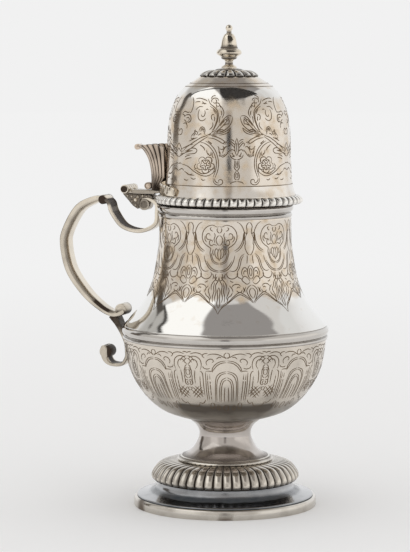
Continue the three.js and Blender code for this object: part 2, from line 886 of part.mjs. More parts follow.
const mustardPot = new THREE.Group();
mustardPot.add(assemble(potParts), lidTurned, assemble(lidHingeParts));

// The origin is on the table, midway between the handle and the far side of the girdle
mustardPot.position.x = (handleReach - bowlRadius - girdleBulge) / 2;

export default mustardPot;
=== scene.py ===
# %% [markdown]
# # A silver mustard pot, piece by piece
# The pot is a baluster body on a spread foot, with a scroll handle and a domed lid that swings on a
# hinge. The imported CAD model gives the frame. Each turned, gadrooned and rolled piece is made again
# here with a smooth skin, because polished silver shows every facet in its reflections.

# %% Load the frame
import math

import bpy
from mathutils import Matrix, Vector


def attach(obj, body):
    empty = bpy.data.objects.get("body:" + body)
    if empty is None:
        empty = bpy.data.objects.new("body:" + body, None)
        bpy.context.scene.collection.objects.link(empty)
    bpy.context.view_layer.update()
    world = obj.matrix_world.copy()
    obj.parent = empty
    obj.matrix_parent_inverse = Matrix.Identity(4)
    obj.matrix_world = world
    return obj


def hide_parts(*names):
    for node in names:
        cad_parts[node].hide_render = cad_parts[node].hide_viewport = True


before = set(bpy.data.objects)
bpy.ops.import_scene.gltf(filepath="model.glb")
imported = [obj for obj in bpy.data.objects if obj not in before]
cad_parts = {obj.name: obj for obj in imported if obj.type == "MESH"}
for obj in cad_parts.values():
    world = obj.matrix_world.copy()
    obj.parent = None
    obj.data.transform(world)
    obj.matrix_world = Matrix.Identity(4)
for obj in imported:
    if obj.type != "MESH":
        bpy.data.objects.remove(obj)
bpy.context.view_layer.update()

bpy.ops.object.select_all(action="DESELECT")
print(sorted(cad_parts))

# %% [markdown]
# Lengths in this lesson are millimetres, as on a silversmith's drawing, and Blender works in metres.
# Two upright axes matter: that of the body, and that of the lid, which sits a little off it. The
# levels are the heights where one piece ends and the next begins. Angles round an axis are in
# degrees, and SIGHT is the one that faces the camera.

# %% Axes and levels
MM = 0.001
BODY_X = 13.9
LID_X = BODY_X + 1.5
SHEET = 1.2
RIM_TOP, GADROONS, COLLAR, STEM, BOWL = 3.8, 9.9, 17.9, 19.7, 34.7
SEAM, GIRDLE_TOP, MOUTH, MOUTH_TOP = 69.3, 71.9, 115.0, 119.6
LID, DOME, DOME_TOP, FINIAL, TOP = 120.0, 123.4, 169.8, 173.1, 190.0
HINGE_R, HINGE_Z = 40.1, 125.1
SIGHT = -73
print("body axis at", BODY_X, "lid axis at", LID_X, "top at", TOP)

# %% [markdown]
# The photograph was taken from a little above the lid, with a long lens, and from the right of the
# handle's plane. A long lens keeps the ellipses of foot and mouth flat. The camera looks slightly to
# the left of the pot, which leaves room in the picture for the handle.

# %% Camera
camera_data = bpy.data.cameras.new("camera")
camera = bpy.data.objects.new("camera", camera_data)
bpy.context.scene.collection.objects.link(camera)
camera_data.lens = 154.8
camera_data.clip_end = 20
away, turn = 935, math.radians(17)
camera.location = Vector((BODY_X + away * math.sin(turn), -away * math.cos(turn), 180)) * MM
camera.rotation_euler = (math.radians(90 - 5.434), 0, math.radians(17.49))
bpy.context.scene.camera = camera
print("camera at", [round(x, 3) for x in camera.location])

# %% [markdown]
# ## Small helpers
# Almost every piece of the pot is turned, so its shape is an outline of points, each a radius and a
# height. The points are few, as a silversmith would mark them on a template, and a curve flows
# through them.

# %% A curve through points
def flowing(points, steps):
    """Points on a smooth curve through a few points, in equal shares of each stretch."""
    last = len(points) - 1
    line = []
    for i in range(steps + 1):
        place = last * i / steps
        at = min(int(place), last - 1)
        t = place - at
        before, a = points[max(at - 1, 0)], points[at]
        b, after = points[at + 1], points[min(at + 2, last)]
        line.append(tuple(
            0.5 * (2 * q + (r - p) * t + (2 * p - 5 * q + 4 * r - s) * t * t
                   + (3 * q - p - 3 * r + s) * t ** 3)
            for p, q, r, s in zip(before, a, b, after)
        ))
    return line


def inner_line(outer, thickness):
    """The inside of a sheet of metal: the outside moved in square to itself."""
    inside = []
    for i, (r, z) in enumerate(outer):
        before, after = outer[max(i - 1, 0)], outer[min(i + 1, len(outer) - 1)]
        run = Vector((after[0] - before[0], after[1] - before[1])).normalized()
        inside.append((r - thickness * run.y, z + thickness * run.x))
    return inside


def ease(value, low, high):
    """A soft step from 0 to 1 between two values."""
    share = min(max((value - low) / (high - low), 0), 1)
    return share * share * (3 - 2 * share)


sample = flowing([(0, 0), (1, 2), (3, 2)], 4)
print("five points on a curve:", [(round(x, 1), round(y, 1)) for x, y in sample])

# %% [markdown]
# Edit mode tools act on all that is selected, so every helper starts with nothing selected and ends
# in object mode. A thin bevel on each crisp edge is what makes metal look real: the edge catches a
# line of light.

# %% Edit mode helpers
def alone(piece):
    """Selects one piece and nothing else."""
    bpy.ops.object.select_all(action="DESELECT")
    piece.select_set(True)
    bpy.context.view_layer.objects.active = piece


def new_piece(name, shape, **values):
    """A piece that starts as one of Blender's own shapes."""
    bpy.ops.object.select_all(action="DESELECT")
    shape(**values)
    bpy.context.object.name = name
    return bpy.context.object


def whole_mesh(piece, *steps):
    """Runs edit mode steps on everything in a piece."""
    alone(piece)
    bpy.ops.object.mode_set(mode="EDIT")
    bpy.ops.mesh.select_all(action="SELECT")
    for step in steps:
        step()
    bpy.ops.object.mode_set(mode="OBJECT")


def weld():
    """Merges points that meet, drops loose ones and turns every face outwards."""
    bpy.ops.mesh.remove_doubles(threshold=2e-6)
    bpy.ops.mesh.delete_loose(use_verts=True, use_edges=True, use_faces=False)
    bpy.ops.mesh.select_all(action="SELECT")
    bpy.ops.mesh.normals_make_consistent(inside=False)


def soften(piece, width, sharp=30, segments=2):
    """Rounds the crisp edges of a piece and shades the rest smooth."""
    alone(piece)
    bevel = piece.modifiers.new("edge", "BEVEL")
    bevel.width = width * MM
    bevel.segments = segments
    bevel.limit_method = "ANGLE"
    bevel.angle_limit = math.radians(sharp)
    bevel.harden_normals = False
    bpy.ops.object.modifier_apply(modifier=bevel.name)
    bpy.ops.object.shade_smooth_by_angle(angle=math.radians(40))


def keep_soil_and_shade(piece, values):
    """Writes one value of tarnish and painted shade for each point, which the finishes read."""
    piece.data.attributes.new("soil_and_shade", "FLOAT", "POINT").data.foreach_set("value", values)


print("helpers ready")

# %% [markdown]
# Turning is done with the Spin tool. A circle gives a closed ring of points, the points move onto
# the outline, and Spin carries the outline once round the axis. An outline that begins and ends on
# the axis closes by itself at both poles.

# %% Turning on the lathe
def turned(name, outline, steps=128, axis=BODY_X, crisp=0.12, sharp=30, dirt_and_shade=None):
    """A turned piece from a closed outline of (radius, height), with a rule of (r, z, angle) for its tarnish
    and painted shade.
    """
    piece = new_piece(name, bpy.ops.mesh.primitive_circle_add, vertices=len(outline), radius=0.01)
    for vertex, (r, z) in zip(piece.data.vertices, outline):
        vertex.co = Vector((axis + r, 0, z)) * MM

    def spin():
        centre = (axis * MM, 0, 0)
        bpy.ops.mesh.spin(steps=steps, angle=2 * math.pi, center=centre, axis=(0, 0, 1))
        bpy.ops.mesh.select_all(action="SELECT")

    whole_mesh(piece, spin, weld)
    if crisp:
        soften(piece, crisp, sharp)
    else:
        alone(piece)
        bpy.ops.object.shade_smooth_by_angle(angle=math.radians(40))
    if dirt_and_shade:
        soil_and_shade = []
        for vertex in piece.data.vertices:
            x, y, z = vertex.co / MM
            soil_and_shade.append(dirt_and_shade(math.hypot(x - axis, y), z, math.degrees(math.atan2(y, x - axis))))
        keep_soil_and_shade(piece, soil_and_shade)
    return piece


def lines_at(*levels, width=0.25):
    """Fine dark lines round a turned piece at some heights, as tarnish and painted shade in its grooves and
    joints.
    """
    return lambda r, z, angle: max(max(0, 1 - abs(z - level) / width) for level in levels)


print("lathe ready")

# %% [markdown]
# What repeats round a ring, or runs along a strap, starts as a flat grid. Each point of the grid has two
# shares, one along each side, and a rule says where that point goes. The sides that meet are welded. The rule
# may also give each point a value of tarnish and painted shade, which the finishes use for tarnish in the
# hollows, where a polishing cloth doesn't reach, and for painted shade, painted highlights and painted
# reflections.

# %% Rolling a grid into a piece
def rolled(name, across, along, place, sharp=50):
    """A grid whose points go where place(u, v) says, as ((x, y, z) in mm, tarnish and painted shade)."""
    piece = new_piece(name, bpy.ops.mesh.primitive_grid_add, x_subdivisions=across, y_subdivisions=along,
                      size=2)
    soil_and_shade = []
    for vertex in piece.data.vertices:
        u, v = (vertex.co.x + 1) / 2, (vertex.co.y + 1) / 2
        spot, dirt_and_shade = place(u, v)
        vertex.co = Vector(spot) * MM
        soil_and_shade.append(dirt_and_shade)
    keep_soil_and_shade(piece, soil_and_shade)
    whole_mesh(piece, weld)
    alone(piece)
    bpy.ops.object.shade_smooth_by_angle(angle=math.radians(sharp))
    return piece


def on_line(line, share):
    """The point at a share of the way along a list of points."""
    place = min(max(share, 0), 1) * (len(line) - 1)
    at = min(int(place), len(line) - 2)
    t = place - at
    return tuple(a + (b - a) * t for a, b in zip(line[at], line[at + 1]))


print("grids ready")

# %% [markdown]
# ## Finishes
# Polished silver is almost a mirror, so its colour is mostly the room's. What makes it silver and not chrome
# is a warm white, faint wiping marks, and brown tarnish in the hollows; the same darkening also serves for
# painted shade, painted highlights and painted reflections. These effects are built once as node groups and
# used by each finish with its own values.

# %% Node helpers
def new_group(name, inputs, outputs):
    """A node group with its sockets, and the two nodes that stand for them inside it."""
    group = bpy.data.node_groups.new(name, "ShaderNodeTree")
    for label, kind, value in inputs:
        socket = group.interface.new_socket(name=label, in_out="INPUT", socket_type=kind)
        if value is not None:
            socket.default_value = value
    for label, kind in outputs:
        group.interface.new_socket(name=label, in_out="OUTPUT", socket_type=kind)
    return group, group.nodes.new("NodeGroupInput"), group.nodes.new("NodeGroupOutput")


def feed(tree, node, inputs):
    """Links each named input of a node to an output, or sets it to a value."""
    for key, value in inputs.items():
        if isinstance(value, bpy.types.NodeSocket):
            tree.links.new(value, node.inputs[key])
        else:
            node.inputs[key].default_value = value


def add(tree, kind, inputs, **settings):
    """A node with its settings and its inputs."""
    node = tree.nodes.new(kind)
    for key, value in settings.items():
        setattr(node, key, value)
    feed(tree, node, inputs)
    return node


def calc(tree, operation, *values, kind="ShaderNodeMath", **settings):
    """The value of a math node, from outputs and numbers."""
    return add(tree, kind, dict(enumerate(values)), operation=operation, **settings).outputs["Value"]


def dot(tree, a, b):
    """The share of one vector that lies along another."""
    return calc(tree, "DOT_PRODUCT", a, b, kind="ShaderNodeVectorMath")


print("node helpers ready")

# %% [markdown]
# Tarnish and painted shade: a cloudy pattern mixes the clean colour with a darker one, and each point's own
# value of tarnish and painted shade adds to it. The same mix makes the surface a little duller where it is
# darker.

# %% Tarnish and painted shade group
tarnish_and_shade, tin, tout = new_group(
    "tarnish_and_shade",
    [("Clean", "NodeSocketColor", (0.8, 0.8, 0.8, 1)), ("Dark", "NodeSocketColor", (0.2, 0.2, 0.2, 1)),
     ("Scale", "NodeSocketFloat", 90.0), ("Cloud", "NodeSocketFloat", 0.3), ("Soil and shade", "NodeSocketFloat", 1.0),
     ("Gloss", "NodeSocketFloat", 0.12), ("Dull", "NodeSocketFloat", 0.45)],
    [("Color", "NodeSocketColor"), ("Roughness", "NodeSocketFloat"), ("Mask", "NodeSocketFloat")],
)
cloud = add(tarnish_and_shade, "ShaderNodeTexNoise", {
    "Detail": 5, "Scale": tin.outputs["Scale"],
    "Vector": add(tarnish_and_shade, "ShaderNodeTexCoord", {}).outputs["Object"],
})
spread = add(tarnish_and_shade, "ShaderNodeMapRange",
             {"From Min": 0.42, "From Max": 0.75, "Value": cloud.outputs["Fac"]},
             interpolation_type="SMOOTHSTEP")
clouds = calc(tarnish_and_shade, "MULTIPLY", spread.outputs["Result"], tin.outputs["Cloud"])
# Each point's own value holds its tarnish and its painted shade, highlights and reflections.
dirt_and_shade = add(tarnish_and_shade, "ShaderNodeAttribute", {}, attribute_name="soil_and_shade").outputs["Fac"]
soiled_and_shaded = calc(tarnish_and_shade, "MULTIPLY_ADD", dirt_and_shade, tin.outputs["Soil and shade"], clouds, use_clamp=True)
tint = add(tarnish_and_shade, "ShaderNodeMix", {"Factor": soiled_and_shaded, "A": tin.outputs["Clean"], "B": tin.outputs["Dark"]},
           data_type="RGBA")
sheen = add(tarnish_and_shade, "ShaderNodeMapRange",
            {"Value": soiled_and_shaded, "To Min": tin.outputs["Gloss"], "To Max": tin.outputs["Dull"]})
feed(tarnish_and_shade, tout, {"Color": tint.outputs["Result"], "Roughness": sheen.outputs["Result"], "Mask": soiled_and_shaded})
print("tarnish group:", len(tarnish_and_shade.nodes), "nodes")

# %% [markdown]
# Hand work: metal that was raised with a hammer and polished by hand is never perfectly even. A
# broad soft wave bends the reflections, and fine wiping marks blur them along one direction.

# %% Hand work group
hand_work, hin, hout = new_group(
    "hand_work",
    [("Wave", "NodeSocketFloat", 0.5), ("Marks", "NodeSocketFloat", 0.1)],
    [("Height", "NodeSocketFloat")],
)
spot = add(hand_work, "ShaderNodeTexCoord", {}).outputs["Object"]
wave = add(hand_work, "ShaderNodeTexNoise", {"Detail": 1.5, "Scale": 60, "Vector": spot})
stretch = add(hand_work, "ShaderNodeMapping", {"Scale": (1, 1, 14), "Vector": spot})
marks = add(hand_work, "ShaderNodeTexNoise", {"Detail": 3, "Scale": 420, "Vector": stretch.outputs["Vector"]})
low = calc(hand_work, "MULTIPLY", wave.outputs["Fac"], hin.outputs["Wave"])
high = calc(hand_work, "MULTIPLY_ADD", marks.outputs["Fac"], hin.outputs["Marks"], low)
feed(hand_work, hout, {"Height": high})
print("hand work group:", len(hand_work.nodes), "nodes")

# %% [markdown]
# A finish is a Principled shader fed by these groups. Clean silver is all metal. Where the tarnish and
# painted shade are thick the metallic share falls, so the surface turns dull and dark. The bump distance is
# in metres, so a wave of a few hundredths of a millimetre is a very small number.

# %% Finish builder
BUMP_DEPTH = 0.00006


def finish(name, clean, dark, gloss, dull, cloud_share, soil_and_shade_share, cloud_scale=90, wave=0.5, marks=0.1):
    """A silver finish. Gloss and dull are the roughness where it is clean and where its tarnish and painted
    shade are full.
    """
    material = bpy.data.materials.new(name)
    material.use_nodes = True
    tree = material.node_tree
    tones = add(tree, "ShaderNodeGroup", {
        "Clean": (*clean, 1), "Dark": (*dark, 1), "Scale": cloud_scale, "Cloud": cloud_share,
        "Soil and shade": soil_and_shade_share, "Gloss": gloss, "Dull": dull,
    }, node_tree=tarnish_and_shade).outputs
    bare = add(tree, "ShaderNodeMapRange", {
        "From Min": 0.55, "From Max": 1, "To Min": 1, "To Max": 0.04, "Value": tones["Mask"],
    })
    work = add(tree, "ShaderNodeGroup", {"Wave": wave, "Marks": marks}, node_tree=hand_work)
    bump = add(tree, "ShaderNodeBump", {"Distance": BUMP_DEPTH, "Height": work.outputs["Height"]})
    feed(tree, tree.nodes["Principled BSDF"], {
        "Base Color": tones["Color"], "Roughness": tones["Roughness"], "Metallic": bare.outputs["Result"],
        "Specular IOR Level": 0.12, "Normal": bump.outputs["Normal"],
    })
    return material


# Each finish's dark colour serves both its tarnish and its painted shade.
polished = finish("polished_silver", (0.74, 0.71, 0.68), (0.16, 0.12, 0.085), 0.07, 0.4, 0.16, 0.95)
ground = finish("engraved_ground", (0.86, 0.845, 0.82), (0.62, 0.47, 0.3), 0.05, 0.26, 0.45, 1.0,
                cloud_scale=240, wave=0.7)
dull_ground = finish("bowl_ground", (0.755, 0.69, 0.605), (0.1, 0.085, 0.07), 0.2, 0.45, 0.25, 0.95, wave=0.8)
moulding = finish("moulding_silver", (0.63, 0.6, 0.565), (0.07, 0.05, 0.035), 0.07, 0.4, 0.16, 0.95)
foot_silver = finish("foot_silver", (0.57, 0.525, 0.49), (0.1, 0.075, 0.055), 0.09, 0.42, 0.3, 0.95)
blue_silver = finish("foot_sheet_silver", (0.5, 0.5, 0.51), (0.035, 0.045, 0.055), 0.08, 0.42, 0.3, 0.95)
cream_silver = finish("foot_rim_silver", (0.72, 0.68, 0.62), (0.13, 0.1, 0.075), 0.12, 0.42, 0.35, 0.95,
                      wave=0.9)
relief = finish("gadroon_silver", (0.95, 0.92, 0.87), (0.03, 0.02, 0.013), 0.08, 0.5, 0.12, 1.3, marks=0.05)
dark_relief = finish("foot_gadroon_silver", (0.68, 0.63, 0.56), (0.03, 0.02, 0.013), 0.1, 0.5, 0.25, 1.45,
                     marks=0.05)
handled = finish("handled_silver", (0.82, 0.74, 0.62), (0.05, 0.034, 0.024), 0.13, 0.45, 0.25, 0.95,
                 cloud_scale=110)
brown = finish("brown_silver", (0.66, 0.545, 0.44), (0.03, 0.02, 0.013), 0.12, 0.45, 0.35, 0.95,
               cloud_scale=140)
groove = finish("graver_groove", (0.2, 0.14, 0.085), (0.08, 0.055, 0.035), 0.4, 0.6, 0.4, 0.3)
print([m.name for m in (polished, ground, relief, handled)])

# %% [markdown]
# Each finished piece is given its material and the CAD body it moves with, and it stands in for its CAD
# nodes, which are hidden.

# %% Placing a finished piece
def placed(piece, material, body, slot, *nodes):
    """Dresses a piece and puts it in the place of its CAD nodes."""
    piece.data.materials.clear()
    piece.data.materials.append(material)
    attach(piece, body)
    if nodes:
        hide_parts(*nodes)
    print(f"{piece.name}: {len(piece.data.vertices)} points, {len(piece.data.polygons)} faces")
    return piece


# %% [markdown]
# ## Foot
# The foot stands on a flat rim. A sheet rises from it in a hollow curve to a short upright step, and
# the gadrooned knop sits on that. The rim has a plain upright face and is turned from one outline.
# A rule gives how dark each point is from its radius, height and angle. On the rim there are two short dark
# streaks, one towards the handle and one low in front. The rim is darker inside 35 mm, where the sheet covers
# it and underneath, and its face darkens towards the bottom.

# %% Foot rim
def rim_darkening(r, z, angle):
    if r < 35:
        return 0.7
    handle_side = 0.85 * ease(abs(angle + 139), 6, 3)
    front = 0.8 * ease(abs(angle - SIGHT), 5, 2) * ease(z, 2.4, 0.6)
    return 0.07 + 0.2 * ease(z, 1.2, 0.2) + handle_side + front


placed(
    turned("foot_rim_turned",
           [(31, 0), (36.2, 0), (36.2, 2.9), (35.9, 3.5), (35.4, RIM_TOP), (31, RIM_TOP)],
           dirt_and_shade=rim_darkening),
    cream_silver, "pot", "polished_silver", "foot_rim",
)

# %% [markdown]
# The sheet is thin. Its outline runs in along the top to the step and back underneath. It has a bluish
# tarnish. It is darker in the hollow of the curve and in a line at its foot, darker on the side towards the
# camera as a painted reflection, and darker just under the gadroons as painted shade.

# %% Foot sheet
foot_curve = [(34.9, RIM_TOP), (35, 3.9), (34.95, 4.25)] + flowing(
    [(34.7, 4.45), (32, 5.0), (29.4, 5.8), (27.7, 6.8), (26.9, 8.1), (26.7, GADROONS)], 25
)


def sheet_shade_and_reflection(r, z, angle):
    # Darker on the side towards the camera: a painted reflection.
    front = ease(abs(angle - SIGHT), 80, 40)
    hollow = ease(z, 5.3, 5.9) * ease(z, 7.6, 6.6)
    sheet = 0.08 + front * (0.14 + 0.1 * ease(z, 5.6, 7)) + 0.45 * hollow
    # Painted shade just under the gadroons, and a dark line at the foot.
    return max(ease(z, 4.4, 4.0), 0.9 * ease(z, 9.2, 9.8), sheet)


placed(
    turned("foot_sheet",
           [(31.4, RIM_TOP), *foot_curve, (25.4, GADROONS), (25.4, 6.6), (30.6, 4.6)],
           crisp=0.05, dirt_and_shade=sheet_shade_and_reflection),
    blue_silver, "pot", "polished_silver", "foot_base",
)

# %% [markdown]
# A gadroon is a plump lobe, like the end of a finger, with a sharp valley on each side. Here some fifty of
# them run over the shoulder of the foot. The ring is a grid rolled up twice: once round the axis and once
# round its own outline. The radius swells over each lobe, the valleys are darkened with tarnish and painted
# shade, and the underside of the ring with painted shade.

# %% Gadroon ring
LOBE_STEPS = 12


def gadroon_ring(name, outline, lobes, depth, valley, shaded_below, lean=0, axis=BODY_X):
    """Outline points are (radius, height, share of the lobe's swell there). Valley is how far up a lobe's
    side the tarnish and painted shade reach, and below the height after it the ring is darkened too, as
    painted shade under the ring."""
    closed = [*outline, outline[0]]

    def place(u, v):
        r, z, swell = on_line(closed, v)
        turn_share = u + lean * v / lobes
        lobe = (u * lobes) % 1
        height = math.sqrt(max(1 - (2 * lobe - 1) ** 2, 0))
        r -= depth * swell * (1 - height)
        angle = 2 * math.pi * turn_share
        # Tarnish and painted shade in the valleys, and painted shade under the ring.
        soil_and_shade = max(swell * (1 - height / valley), ease(z, shaded_below + 0.3, shaded_below))
        return (axis + r * math.cos(angle), r * math.sin(angle), z), soil_and_shade

    return rolled(name, lobes * LOBE_STEPS, len(closed) - 1, place)


shoulder = flowing(
    [(28.0, GADROONS, 0.6), (29.4, 11.6, 1), (28.4, 14.2, 1), (25.6, 16.8, 1), (19.3, COLLAR, 0.6)], 16
)
knop = gadroon_ring(
    "foot_gadroons", [(25.4, GADROONS, 0), *shoulder, (15.5, COLLAR, 0), (22, 13, 0)],
    lobes=48, depth=1.45, valley=0.95, shaded_below=10.1,
)
placed(knop, dark_relief, "pot", "polished_silver", "foot_gadroon_band")

# %% [markdown]
# A thin bead hides the joint of the knop and the stem. In the photograph it is two fine rings with a
# groove between them, so its outline has two small humps.

# %% Collar and stem
bead = [(15.5, COLLAR), (18.2, COLLAR), (18.75, 18.1), (18.95, 18.5), (18.8, 18.9), (18.3, 19.2),
        (17.85, 19.25), (17.75, 19.35), (17.8, 19.5), (17.5, STEM), (15.5, STEM)]
placed(turned("foot_bead", bead, crisp=0, dirt_and_shade=lines_at(17.95, 19.3, width=0.2)),
       cream_silver, "pot", "polished_silver", "foot_collar")
stem_outside = flowing(
    [(17.2, STEM), (14.8, 20.9), (12.2, 23.3), (10.2, 28), (11.3, 31.7), (14.6, BOWL)], 24
)
# The stem is darker at its base, as a painted reflection of the gadrooned knop, and darker again just under
# the bowl.
placed(
    turned("stem_turned", stem_outside + inner_line(stem_outside, SHEET)[::-1], crisp=0.08,
           dirt_and_shade=lambda r, z, angle: max(0.7 * ease(z, 21.5, 19.8), 0.4 * ease(z, 32.5, 34.6))),
    foot_silver, "pot", "polished_silver", "stem",
)

# %% [markdown]
# ## Bowl, girdle and neck
# The bowl was raised from a disc of sheet, and so was the neck. They meet edge to edge, and a
# half-round girdle hides the seam.

# %% Bowl
bowl_outside = flowing(
    [(14.6, BOWL), (24.68, 38.16), (32.24, 44.73), (37.8, 54.4), (39.8, 65.1), (39.8, SEAM)], 40
)
bowl_inside = inner_line(bowl_outside, SHEET)[::-1]


# A dark patch low on the side towards the camera is a painted reflection. The bowl is also darker towards the
# stem, a little darker below its middle, and darker in a band just under the girdle.
def bowl_reflection_and_darkening(r, z, angle):
    painted_reflection = ease(abs(angle - SIGHT), 44, 32) * ease(z, 44.4, 43.4) * (0.55 + 0.4 * ease(z, 38.5, 43))
    return max(painted_reflection, 0.35 * ease(z, 45, 42)) + 0.2 * ease(z, 56, 46) + 0.4 * ease(z, 66.5, 67.5)


placed(
    turned("bowl_raised",
           [(0, BOWL), *bowl_outside, *bowl_inside[:-2], (12, BOWL + SHEET), (0, BOWL + SHEET)],
           dirt_and_shade=bowl_reflection_and_darkening),
    dull_ground, "pot", "engraved_silver", "bowl",
)

# %% [markdown]
# The girdle in the photograph has a thin bright fillet under its half-round, and a dark line above
# it. The outline follows that, with a little step between fillet and round.

# %% Girdle
round_part = [(40.0 + 0.9 * math.sin(math.pi * i / 10) ** 0.7, 68.1 + 3.5 * i / 10) for i in range(11)]
placed(
    turned("girdle_half_round",
           [(40.05, 66.7), (40.45, 66.7), (40.6, 67.0), (40.55, 67.6), (40.25, 67.8), *round_part,
            (40.05, GIRDLE_TOP)],
           crisp=0.05, dirt_and_shade=lines_at(66.75, 67.85, 71.75)),
    moulding, "pot", "polished_silver", "girdle_moulding",
)

# %% [markdown]
# The ground of the neck is brighter below and darker above. The line between the two runs in small
# waves, along the fringe of leaves that is engraved there.

# %% Neck
neck_outside = flowing(
    [(40.2, GIRDLE_TOP), (37.94, 74.49), (32.3, 81.38), (28.92, 89.14), (26.95, 99.05), (26.1, 106.4),
     (26.1, MOUTH)], 44
)


def neck_tarnish(r, z, angle):
    fringe = 84.6 + 1.2 * math.cos(math.radians(14 * (angle - SIGHT)))
    return 0.7 * ease(z, fringe - 0.8, fringe + 0.8) - 0.3


placed(
    turned("neck_raised",
           [(39.8, SEAM), (39.8, 71.6), *neck_outside, *inner_line(neck_outside, SHEET)[::-1][:-1],
            (38.6, 71.4), (38.6, SEAM)],
           steps=240, crisp=0.06, sharp=45, dirt_and_shade=neck_tarnish),
    ground, "pot", "engraved_silver", "neck",
)

# %% [markdown]
# The mouth is stiffened by a moulding: a fillet, a narrow hollow and a rounded band. It catches one bright
# and one dark line right under the lid, and a painted shadow of the lid darkens its top edge. Fine dark lines
# also mark the hollow and the joint with the neck.

# %% Mouth moulding
mouth = [(24.9, MOUTH), (26.1, MOUTH), (26.35, 115.15), (26.4, 115.9), (26.2, 116.2), (25.95, 116.5),
         (25.95, 116.8), (26.2, 117.1), (26.55, 117.3), (26.8, 117.8), (26.9, 118.4), (26.85, 119.0),
         (26.6, 119.4), (26.3, MOUTH_TOP), (24.9, MOUTH_TOP)]
placed(turned("mouth_band", mouth, crisp=0.05, dirt_and_shade=lines_at(114.95, 116.65, 119.6, width=0.3)),
       moulding, "pot", "polished_silver", "mouth_moulding")

# %% [markdown]
# ## Lid
# The lid turns on the hinge, so all its pieces ride on the lid's body. Its bezel drops inside the
# mouth, a wire of small gadroons that lean a little runs round its edge, and the high dome stands on
# both.

# %% Bezel and gadrooned wire
placed(
    turned("bezel_ring",
           [(21.4, 117), (22.3, 117), (22.6, LID), (26.15, LID), (26.15, DOME), (23.3, DOME), (21.4, 121.2)],
           axis=LID_X, crisp=0.1, dirt_and_shade=lambda r, z, angle: 0.9 * ease(z, 120.8, 119.6)),
    polished, "lid", "polished_silver", "lid_bezel",
)
wire_edge = flowing(
    [(28.2, 120.1, 0.6), (29.1, 120.7, 1), (29.15, 121.9, 1), (28.2, 123, 1), (27.2, DOME, 0.4)], 8
)
rim = gadroon_ring(
    "rim_gadroons", [(26.4, LID, 0), *wire_edge, (26.4, DOME, 0)],
    lobes=54, depth=1.25, valley=0.9, shaded_below=120.1, lean=0.2, axis=LID_X,
)
placed(rim, relief, "lid", "polished_silver", "lid_rim")

# %% [markdown]
# The dome flares a little at its foot, runs almost upright and closes in a low crown with a hole for the
# finial's shank. It is tarnished up to the shoulder, bright there, and darker again close to the petals.

# %% Dome
dome_outside = flowing(
    [(26.3, DOME), (25.1, 127.58), (24.5, 134.54), (24.13, 146.6), (23.4, 154.02), (21.56, 159.59),
     (18.62, 164.7), (12.5, 169.1)], 56
)
dome_inside = inner_line(dome_outside, SHEET)[::-1]


def dome_darkening(r, z, angle):
    wall = (0.58 if z > 128 else 0.42) * ease(z, 163.5, 160)
    return wall + 0.5 * ease(z, 164.8, 165.8) - 0.2


placed(
    turned("dome_raised",
           [*dome_outside, (11.5, DOME_TOP), (1.15, DOME_TOP), (1.15, 168.6), (10.5, 168.6),
            *dome_inside[1:-1], (23.3, DOME)],
           axis=LID_X, crisp=0.06, sharp=50, dirt_and_shade=dome_darkening),
    ground, "lid", "engraved_silver", "lid_dome",
)

# %% [markdown]
# A plate of petals covers the crown. Each petal is an egg with a deep groove round it, so the grid's rule
# sinks between the petals and also near their inner ends. The grooves, the dips near the inner ends and the
# plate's outer edge are darkened with tarnish and painted shade. Each point of the outline is a radius, a
# height, the share of the groove's drop that shows there, and its tarnish and painted shade.

# %% Rosette of petals
petals = 18
petal_top = flowing(
    [(11.5, 170.4, 1, 0.3), (10.6, 171.3, 1, 0), (8.6, 172.1, 1, 0), (6.6, 172.3, 1, 0.3),
     (5.9, 172.0, 0.3, 1), (5.2, 172.5, 0, 0.5), (3.6, FINIAL, 0, 0)], 20
)
plate_line = [(1.15, DOME_TOP, 0, 0), (11.2, DOME_TOP, 0.6, 0.6), (11.5, 170.1, 1, 0.8), *petal_top,
              (1.15, FINIAL, 0, 0)]


def petal_place(u, v):
    r, z, sink, soil_and_shade = on_line([*plate_line, plate_line[0]], v)
    lobe = (u * petals) % 1
    height = math.sqrt(max(1 - (2 * lobe - 1) ** 2, 0))
    angle = 2 * math.pi * u
    drop = sink * (1 - height)
    r -= 0.5 * drop
    z -= drop if z > 170.2 else 0
    return (LID_X + r * math.cos(angle), r * math.sin(angle), max(z, DOME_TOP)), max(soil_and_shade, drop * 1.3)


placed(rolled("crown_petals", petals * 14, len(plate_line), petal_place), relief, "lid", "engraved_silver",
       "lid_rosette")

# %% [markdown]
# The finial was turned from the solid: a flange, a short neck, a disc with a rounded edge, a bell
# and a small ball. A thin shank goes down through the crown.

# %% Finial
finial_line = [(1, 164.8), (1, FINIAL), (3.0, FINIAL), (3.05, 173.5), (2.6, 173.9), (1.75, 174.3),
               (1.5, 174.9), (1.6, 175.7), (1.9, 176.2), (2.6, 176.5), (3.05, 176.9), (3.05, 177.3),
               (3.6, 177.7), (4.6, 178.3), (5.0, 178.8), (4.95, 179.4), (4.5, 180.1), (3.7, 180.6),
               (3.4, 180.75), (3.4, 181.1), (3.25, 181.3), (3.1, 182.4), (2.85, 183.8), (2.45, 185.2),
               (1.9, 186.1), (1.2, 186.5), (0.95, 186.8), (0.95, 187.2)]
ball_angles = [math.radians(-48 + 138 * i / 8) for i in range(8)]
ball = [(1.4 * math.cos(a), 188.6 + 1.4 * math.sin(a)) for a in ball_angles]
placed(
    turned("finial_turned", [(0, 164.8), *finial_line, *ball, (0, TOP)], steps=64, axis=LID_X, crisp=0.04,
           dirt_and_shade=lines_at(174.8, 176.9, 181.1, 187.0, width=0.7)),
    handled, "lid", "polished_silver", "finial",
)

